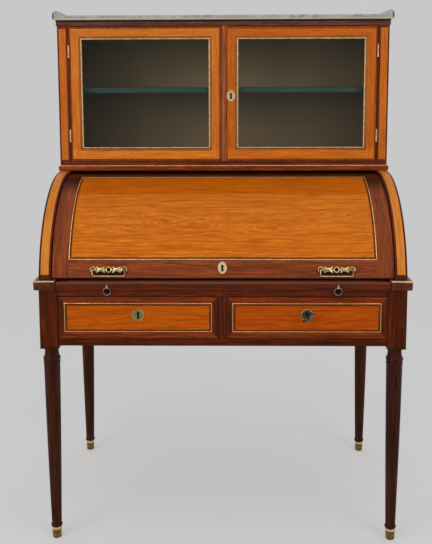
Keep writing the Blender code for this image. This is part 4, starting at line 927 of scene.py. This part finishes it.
def dress_cheek(side, sign):
    """Satinwood band between fine lines on the curved front of a cheek."""
    axis = cylinder_axis()
    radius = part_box(f"{side}_cheek")[1].z - axis.z
    lay = on_curve(axis, radius)
    foot = math.asin((CHEEK_BAND_FOOT - axis.z) / radius) * radius
    head = radius * math.pi / 2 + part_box("vitrine_base")[0].y - axis.y + CHEEK_BAND_TUCK
    edges = sorted((sign * CHEEK_BAND_IN, sign * CHEEK_BAND_OUT))
    rect = (edges[0], foot, edges[1], head)
    band = panel(f"{side}_cheek_band", rect, VENEER, lay, upright=True, shift=edges[0])
    fit(band, cheek_satinwood, "carcass", rounded=BOARD_ANGLE)
    line_stile_band(side, sign, "cheek", edges, foot, head, lay)


def dress_stile(side, sign):
    """Satinwood band between fine lines on a front stile of the cabinet."""
    low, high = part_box(f"vitrine_{side}_side")
    lay = on_face(low.y)
    edges = sorted((sign * STILE_BAND_IN, sign * STILE_BAND_OUT))
    rect = (edges[0], low.z + STILE_BAND_FOOT, edges[1], high.z - STILE_BAND_HEAD)
    band = panel(f"{side}_stile_band", rect, VENEER, lay, upright=True, shift=edges[1])
    fit(band, stile_satinwood, "carcass")
    line_stile_band(side, sign, "stile", edges, rect[1], rect[3], lay)


def bead_section():
    """Section of a door's brass bead: up from its seat, over in a round, and down to the glass."""
    arc = []
    for i in range(BEAD_STEPS + 1):
        turn = math.pi * i / BEAD_STEPS
        arc.append((0.5 - 0.5 * math.cos(turn), BEAD_ROUND * (math.sin(turn) - 1) - BEAD_CROWN))
    return ((0.0, -BEAD_SEAT), *arc, (1.0, -BEAD_SEAT))


def splay_section():
    """Section of the veneer on a door's sloping inner edge."""
    return ((0.0, 0.0), (0.0, VENEER), (1.0, VENEER - SPLAY_DEPTH), (1.0, -SPLAY_DEPTH))


def dress_door(side):
    """Edge line, mitred satinwood frame and brass bead of a glazed door, and the bead of its astragal."""
    body = f"{side}_door"
    low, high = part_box(f"{side}_door_frame")
    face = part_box("vitrine_left_side")[0].y
    pane_low, pane_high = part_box(f"{side}_door_glass")
    sight = inset((pane_low.x, pane_low.z, pane_high.x, pane_high.z), GLASS_IN_REBATE)
    lay = on_face(face)
    outer = [low.x + VENEER, low.z + VENEER, high.x - VENEER, high.z - VENEER]
    veneer_out = inset(outer, DOOR_EDGE[side])
    if side == "right":
        outer[0] = low.x + ASTRAGAL / 2  # hidden under the astragal
    # Head and foot of the edge line are painted shadow of the gap round the door.
    edge = mitred_frame(f"{side}_door_edge", outer, inset(outer, EDGE_LINE), flat_section(VENEER), lay)
    fit(edge, gap_shadow_mahogany, body, stile_mahogany)
    seat = inset(sight, -BEAD_WIDTH)
    splay_out = inset(seat, -SPLAY_WIDTH)
    veneer = mitred_frame(f"{side}_door_veneer", veneer_out, splay_out, flat_section(VENEER), lay)
    if side == "right":
        lock = middle_of("door_escutcheon")
        cut_lock_hole(veneer, lock, Vector((0, 1, 0)))
        rim_escutcheon("door_escutcheon", body, string_brass)
        bush_keyhole("door_escutcheon", body)
        rect = (low.x + EASED, low.z + VENEER, low.x + ASTRAGAL - EASED, high.z - VENEER)
        bead = half_round("astragal_bead", rect, ASTRAGAL_ROUND, on_face(low.y))
        fit(bead, astragal_mahogany, body, rounded=BOARD_ANGLE)
    fit(veneer, door_satinwood[side], body)
    splay = mitred_frame(f"{side}_door_splay", splay_out, seat, splay_section(), lay)
    fit(splay, shaded_splay_satinwood, body)
    bead = mitred_frame(f"{side}_door_bead", seat, sight, bead_section(), lay)
    fit(bead, bead_brass, body, rounded=ROUND_ANGLE)


def lay_cornice_shadow_line():
    """Black line round the cornice under the marble: painted shadow of the marble's overhang."""
    low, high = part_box("vitrine_cornice")
    inner = (low.x + VENEER, low.y + VENEER, high.x - VENEER, high.y - VENEER)
    outer = inset(inner, (-2 * VENEER, -2 * VENEER, -2 * VENEER, -VENEER / 2))
    section = ((0.0, -CORNICE_SHADOW), (0.0, -VENEER), (1.0, -VENEER), (1.0, -CORNICE_SHADOW))
    fit(mitred_frame("cornice_shadow_line", outer, inner, section, on_top(high.z)), ebony_and_shadow_line, "carcass")


def quarter(centre, radius, start):
    """A quarter turn of points round a centre, from a start in degrees."""
    turns = [math.radians(start + 90 * i / ARC_STEPS) for i in range(ARC_STEPS + 1)]
    x, y = centre
    return [(x + radius * math.cos(turn), y + radius * math.sin(turn)) for turn in turns]


def marble_section(half, foot, lip, tray):
    """Outline across the marble: rounded edges, a lip at each end and a cove from lip to tray."""
    crest = min(LIP_CREST, (lip - tray) / 2)
    cove = min(MARBLE_COVE, (lip - tray) / 2)
    inner = half - LIP_WIDTH
    right = quarter((half - MARBLE_ROUND, foot + MARBLE_ROUND), MARBLE_ROUND, -90)
    right += quarter((half - LIP_ROUND, lip - LIP_ROUND), LIP_ROUND, 0)
    right += quarter((inner + crest, lip - crest), crest, 90)
    right += reversed(quarter((inner - cove, tray + cove), cove, -90))
    return right + [(-x, z) for x, z in reversed(right)]


def lay_marble():
    """The marble top: side lips start square at the front and sweep up to a taller lip at the back."""
    low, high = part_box("marble_top")
    tray = low.z + MARBLE_SLAB
    side_lip = high.z - LIP_DROP
    back = high.y - LIP_WIDTH
    edges = quarter((0.0, 0.0), MARBLE_ROUND, 0)
    # From front to back: depth, how far the edge is rounded off, height of the lips and height between them.
    levels = [(low.y + MARBLE_ROUND - out, MARBLE_ROUND - up, side_lip, tray) for out, up in edges]
    for i in range(1, SWEEP_STEPS + 1):
        rise = i / SWEEP_STEPS
        lip = side_lip + LIP_DROP * (3 - 2 * rise) * rise**2
        levels.append((back - MARBLE_COVE - LIP_SWEEP * (1 - rise), 0.0, lip, tray))
    for out, up in quarter((-MARBLE_COVE, MARBLE_COVE), MARBLE_COVE, -90)[1:]:
        levels.append((back + out, 0.0, high.z, tray + up))
    top = high.z - LIP_STEP
    for out, up in reversed(quarter((MARBLE_ROUND, -MARBLE_ROUND), MARBLE_ROUND, 90)):
        levels.append((back + out, 0.0, high.z, top + up))
    for out, up in reversed(edges):
        levels.append((high.y - MARBLE_ROUND + out, MARBLE_ROUND - up, high.z, top))

    def build(bm, layer):
        rings = []
        for depth, edge, lip, floor in levels:
            outline = marble_section(high.x - edge, low.z + edge, lip - edge, floor - edge)
            rings.append([bm.verts.new((x, depth, z)) for x, z in outline])
        skin(bm, rings)
        bm.faces.new(rings[0])
        bm.faces.new(rings[-1])

    slab = fit(mapped("marble_slab", build), marble, "carcass", rounded=BOARD_ANGLE)
    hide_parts("marble_top")


def lay_fillet():
    """Brass fillet round the foot of the cabinet."""
    low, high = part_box("vitrine_left_side")
    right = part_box("vitrine_right_side")[1].x
    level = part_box("vitrine_base")[0].z + BASE_BOARD
    inner = (low.x, low.y, right, high.y - FILLET_END)
    flat = NOSING_REACH - NOSING
    width = flat + (NOSING + FILLET) * math.sin(FILLET_TURN)
    outer = inset(inner, -width)

    def bent(radius, share):
        """A point of the section, part of the way round the nosing."""
        turn = share * FILLET_TURN
        return 1 - (flat + radius * math.sin(turn)) / width, radius * math.cos(turn) - NOSING

    over = [bent(NOSING + FILLET, share) for share in (1.0, 0.67, 0.33, 0.0)]
    under = [bent(NOSING - FILLET, share) for share in (0.0, 0.33, 0.67, 1.0)]
    section = (*over, (1.0, FILLET), (1.0, -FILLET), *under)
    fillet = mitred_frame("cabinet_fillet", outer, inner, section, on_top(level))
    fit(fillet, bead_brass, "carcass", rounded=BOARD_ANGLE)


def lay_lining():
    """Woven lining on the inside of the cabinet's back."""
    low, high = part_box("vitrine_back")
    rect = (low.x + VENEER, low.z + VENEER, high.x - VENEER, high.z - VENEER)
    fit(panel("cabinet_lining", rect, VENEER, on_face(low.y)), lining_cloth(), "carcass")


def lay_leather():
    """Leather let into the top of the writing slide."""
    low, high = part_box("writing_slide")
    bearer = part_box("right_slide_bearer")[0].x
    rect = inset((-bearer, low.y, bearer, high.y), LEATHER_MARGIN)
    fit(panel("slide_leather", rect, VENEER, on_top(high.z)), slide_leather(), "slide")


def round_shading():
    """Node group that welds a solid's facets and shades them round up to a given angle."""
    group = bpy.data.node_groups.new("round shading", "GeometryNodeTree")
    group.interface.new_socket("Geometry", in_out="INPUT", socket_type="NodeSocketGeometry")
    group.interface.new_socket("Angle", in_out="INPUT", socket_type="NodeSocketFloat")
    group.interface.new_socket("Geometry", in_out="OUTPUT", socket_type="NodeSocketGeometry")
    given = add(group, "NodeGroupInput")
    welded = add(group, "GeometryNodeMergeByDistance", {"Geometry": given.outputs[0], "Distance": 0.01 * MM})
    bare = add(group, "GeometryNodeRemoveAttribute", {"Geometry": welded.outputs[0], "Name": "custom_normal"})
    faces = add(group, "GeometryNodeSetShadeSmooth", {"Geometry": bare.outputs[0]}, domain="FACE")
    edges = add(group, "GeometryNodeSetShadeSmooth", {"Geometry": faces.outputs[0]}, domain="EDGE")
    bend = add(group, "GeometryNodeInputMeshEdgeAngle").outputs["Unsigned Angle"]
    sharp = add(group, "FunctionNodeCompare", {0: bend, 1: given.outputs[1]}, operation="GREATER_THAN")
    kept = {"Geometry": edges.outputs[0], "Selection": sharp.outputs[0], "Shade Smooth": False}
    done = add(group, "GeometryNodeSetShadeSmooth", kept, domain="EDGE")
    add(group, "NodeGroupOutput", {0: done.outputs[0]})
    return group


def finish_solid(name, material, group, rounded):
    """Gives a solid its material and shading, and boards a slightly eased edge."""
    node = frame["nodes"][name]
    node.data.materials.clear()
    node.data.materials.append(material)
    shading = node.modifiers.new("round shading", "NODES")
    shading.node_group = group
    shading["Socket_1"] = ROUND_ANGLE if rounded else BOARD_ANGLE
    if rounded:
        return
    whole = node.modifiers.new("whole faces", "DECIMATE")
    whole.decimate_type = "DISSOLVE"
    whole.angle_limit = WHOLE_BELOW
    eased = node.modifiers.new("eased edges", "BEVEL")
    eased.width = EASED
    eased.segments = 2
    eased.limit_method = "ANGLE"
    eased.angle_limit = EASED_ABOVE
    eased.harden_normals = True


def lay_floor():
    """A wide sheet of pale paper under the desk."""
    mesh = bpy.data.meshes.new("floor")
    corners = [(x * FLOOR_REACH, y * FLOOR_REACH, 0) for x, y in ((-1, -1), (1, -1), (1, 1), (-1, 1))]
    mesh.from_pydata(corners, [], [(0, 1, 2, 3)])
    mesh.materials.append(studio_paper())
    floor = bpy.data.objects.new("floor", mesh)
    floor.location.z = -FLOOR_DROP
    bpy.context.scene.collection.objects.link(floor)


def hang_softbox(name, place, aim, size, power):
    """A square soft lamp at a place, turned to a point of the desk."""
    lamp = bpy.data.lights.new(name, "AREA")
    lamp.size = size
    lamp.energy = power
    holder = bpy.data.objects.new(name, lamp)
    holder.location = place
    holder.rotation_euler = (Vector(aim) - Vector(place)).to_track_quat("-Z", "Y").to_euler()
    bpy.context.scene.collection.objects.link(holder)


def light_studio():
    """A pale backdrop behind the desk, a dim room in front of it and soft lamps at either side."""
    world = bpy.data.worlds.new("studio")
    world.use_nodes = True
    tree = world.node_tree
    tree.nodes.clear()
    seen, mirrored = rays(tree)
    way = add(tree, "ShaderNodeTexCoord").outputs["Generated"]
    room_colour = coats(tree, DIM_ROOM, (PALE_ROOM, rising(tree, way, "Y", *ROOM_SPAN)))
    room = add(tree, "ShaderNodeBackground", {"Color": linear("#FFFFFF"), "Strength": ROOM_LIGHT})
    mirror = add(tree, "ShaderNodeBackground", {"Color": room_colour, "Strength": 1.0})
    backdrop = add(tree, "ShaderNodeBackground", {"Color": linear(BACKDROP), "Strength": 1.0})
    lit = add(tree, "ShaderNodeMixShader", {0: mirrored, 1: room.outputs[0], 2: mirror.outputs[0]})
    both = add(tree, "ShaderNodeMixShader", {0: seen, 1: lit.outputs[0], 2: backdrop.outputs[0]})
    add(tree, "ShaderNodeOutputWorld", {"Surface": both.outputs[0]})
    bpy.context.scene.world = world
    for softbox in SOFTBOXES:
        hang_softbox(*softbox)


def set_camera():
    """A camera where the photograph was taken from, with its lens axis above the middle of the picture."""
    lens = bpy.data.cameras.new("photograph")
    lens.sensor_width = SENSOR
    lens.lens = FOCAL_PIXELS * SENSOR / IMAGE_HEIGHT
    lens.shift_y = (AXIS_ROW - IMAGE_HEIGHT / 2) / IMAGE_HEIGHT
    lens.clip_start = 0.05
    lens.clip_end = 200
    holder = bpy.data.objects.new("photograph", lens)
    forward = Vector((
        math.sin(CAMERA_YAW) * math.cos(CAMERA_PITCH),
        math.cos(CAMERA_YAW) * math.cos(CAMERA_PITCH),
        -math.sin(CAMERA_PITCH),
    ))
    right = Vector((math.cos(CAMERA_YAW), -math.sin(CAMERA_YAW), 0))
    up = right.cross(forward)
    turned = math.cos(CAMERA_ROLL) * right + math.sin(CAMERA_ROLL) * up
    upright = math.cos(CAMERA_ROLL) * up - math.sin(CAMERA_ROLL) * right
    turn = Matrix((turned, upright, -forward)).transposed()
    holder.matrix_world = Matrix.Translation(CAMERA_PLACE) @ turn.to_4x4()
    bpy.context.scene.collection.objects.link(holder)
    bpy.context.scene.camera = holder


# Materials of the laid work
string_brass = worn_metal("drawn brass string", "#FFDC9C", "#DCB070", 0.42)
bead_brass = worn_metal("lacquered brass bead", "#EDC894", "#BC935F", 0.46, shade_below="#5C3A1C")
aged_rim = worn_metal("rubbed plate brass", "#C8BE96", "#948A5E", 0.42)
ebony_and_shadow_line = ebony_and_shadow_finish()
lock_iron = bush_iron()
marble = honed_marble()
stile_mahogany = polished_wood("mahogany stile veneer", "map", FADED_MAHOGANY)
gap_shadow_mahogany = polished_wood("dark mahogany edge with painted gap shadow", "map", LEG_MAHOGANY)
banding_mahogany = polished_wood("mahogany banding", "map", BANDING_MAHOGANY)
end_mahogany = polished_wood("mahogany end banding", "map", MAHOGANY)
string_mahogany = polished_wood("stained mahogany line", "map", STRING_MAHOGANY)
astragal_mahogany = polished_wood("rubbed mahogany astragal", "map", ASTRAGAL_MAHOGANY)
shaded_stile = two_tone_wood(
    "shaded mahogany stile", "map", CYLINDER_SHADE, FADED_MAHOGANY, LEG_MAHOGANY, CYLINDER_SHADE_BLUR
)
cylinder_satinwood = polished_wood("flamed satinwood veneer", "map", CYLINDER_SATINWOOD)
upper_satinwood = polished_wood("straight satinwood veneer", "map", UPPER_SATINWOOD)
cheek_satinwood = polished_wood("satinwood cheek band", "map", CHEEK_SATINWOOD)
stile_satinwood = polished_wood("satinwood stile band", "map", STILE_SATINWOOD)
shaded_splay_satinwood = polished_wood("satinwood edge veneer", "map", SHADED_SPLAY_SATINWOOD)
door_satinwood = {}
drawer_satinwood = {}
for side, _ in SIDES:
    name = f"satinwood {side} crossbanding"
    woods = PAINTED_LIGHT_SATINWOOD[side], DOOR_SATINWOOD[side]
    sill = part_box(f"{side}_door_glass")[0].z
    door_satinwood[side] = two_tone_wood(name, "map", sill, *woods, DOOR_LIGHT_BLUR)
    drawer_satinwood[side] = polished_wood(f"satinwood {side} drawer veneer", "map", DRAWER_SATINWOOD[side])

for side, sign in SIDES:
    dress_drawer(side)
    dress_cheek(side, sign)
    dress_stile(side, sign)
    dress_door(side)
dress_cylinder()
lay_cornice_shadow_line()
lay_marble()
lay_fillet()
lay_lining()
lay_leather()

# Materials of the solids
mahogany = {axis: polished_wood(f"solid mahogany {axis}", axis, MAHOGANY) for axis in "XYZ"}
oak = {axis: polished_wood(f"planed oak {axis}", axis, OAK) for axis in "XZ"}
faded_mahogany = polished_wood("faded mahogany", "Z", FADED_MAHOGANY)
slide_with_painted_light = slide_mahogany()
base_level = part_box("vitrine_base")[0].z + BASE_BOARD
# Below the level the base board's nosing is lighter: painted light.
base_mahogany = two_tone_wood("base mahogany with painted light on its nosing", "X", base_level, PAINTED_LIGHT_NOSING_MAHOGANY, BASE_MAHOGANY)
block_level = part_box("lower_front_rail")[0].z - BLOCK_FOOT
leg_mahogany = two_tone_wood("turned mahogany", "Z", block_level, LEG_MAHOGANY, SHADED_MAHOGANY)
rail_mahogany = polished_wood("shaded mahogany", "X", SHADED_MAHOGANY)
side_mahogany = polished_wood("mahogany cabinet side", "Z", BASE_MAHOGANY)
cornice_mahogany = polished_wood("mahogany under bloomed polish", "X", BLOOMED_MAHOGANY)
nest_satinwood = polished_wood("solid satinwood", "X", CHEEK_SATINWOOD)
gilt = worn_metal("gilt cast brass", "#FFEBAE", "#B08C42", 0.30)
bail_brass = worn_metal("rubbed cast brass", "#F8D4AC", "#C09468", 0.36)
plate_brass = worn_metal("polished plate brass", "#FBE8C0", "#E6C894", 0.46)
hinge_brass = worn_metal("turned brass", "#ECC8A2", "#BE9468", 0.40)
aged_brass = worn_metal("aged plate brass", "#B4A672", "#7E7142", 0.44)
# The right drawer's escutcheon is darker than the left one.
dark_brass = worn_metal("darker plate brass", "#7C7048", "#463C24", 0.44)
bronze = worn_metal("patinated bronze wire", "#B49C90", "#745E54", 0.36)
steel = worn_metal("worn steel", "#6A6258", "#2E2924", 0.40)

# Each solid's material, and whether it is shaded round. A star stands for left and right.
finishes = {
    "front_*_leg back_*_leg": (leg_mahogany, True),
    "front_*_sabot back_*_sabot": (sabot_brass(), True),
    "*_side_apron *_slide_bearer *_cheek": (mahogany["Y"], False),
    "*_top_moulding": (moulding_mahogany(), True),
    "lower_front_rail": (rail_mahogany, False),
    "vitrine_cornice": (cornice_mahogany, False),
    "writing_slide upper_front_rail": (slide_with_painted_light, False),
    "vitrine_base": (base_mahogany, False),
    "cylinder_shell": (shell_mahogany(), False),
    "drawer_divider *_cylinder_arm": (mahogany["Z"], False),
    "vitrine_*_side": (side_mahogany, False),
    "*_door_frame": (faded_mahogany, False),
    "*_drawer_front": (mahogany["X"], False),
    "dust_board *_drawer_box": (oak["X"], False),
    "desk_back vitrine_back": (oak["Z"], False),
    "pigeonhole_nest": (nest_satinwood, False),
    "*_small_drawer": (knobbed_satinwood(), False),
    "vitrine_shelf": (shelf_paint(), False),
    "marble_top": (marble, True),
    "*_door_glass": (pane_glass(), False),
    "*_door_upper_hinge *_door_lower_hinge *_ring_stud": (hinge_brass, True),
    "door_escutcheon cylinder_escutcheon": (plate_brass, True),
    "*_handle_plate": (gilt, True),
    "*_handle_bail": (bail_brass, True),
    "*_pull_ring": (bronze, True),
    "left_drawer_escutcheon": (aged_brass, True),
    "right_drawer_escutcheon": (dark_brass, True),
    "drawer_key": (steel, True),
}
shading_group = round_shading()
for names, (material, rounded) in finishes.items():
    for name in names.split():
        for solid in sorted({name.replace("*", side) for side, _ in SIDES}):
            finish_solid(solid, material, shading_group, rounded)

lay_floor()
light_studio()
set_camera()
bpy.context.scene.view_settings.view_transform = "Standard"

bpy.context.view_layer.update()
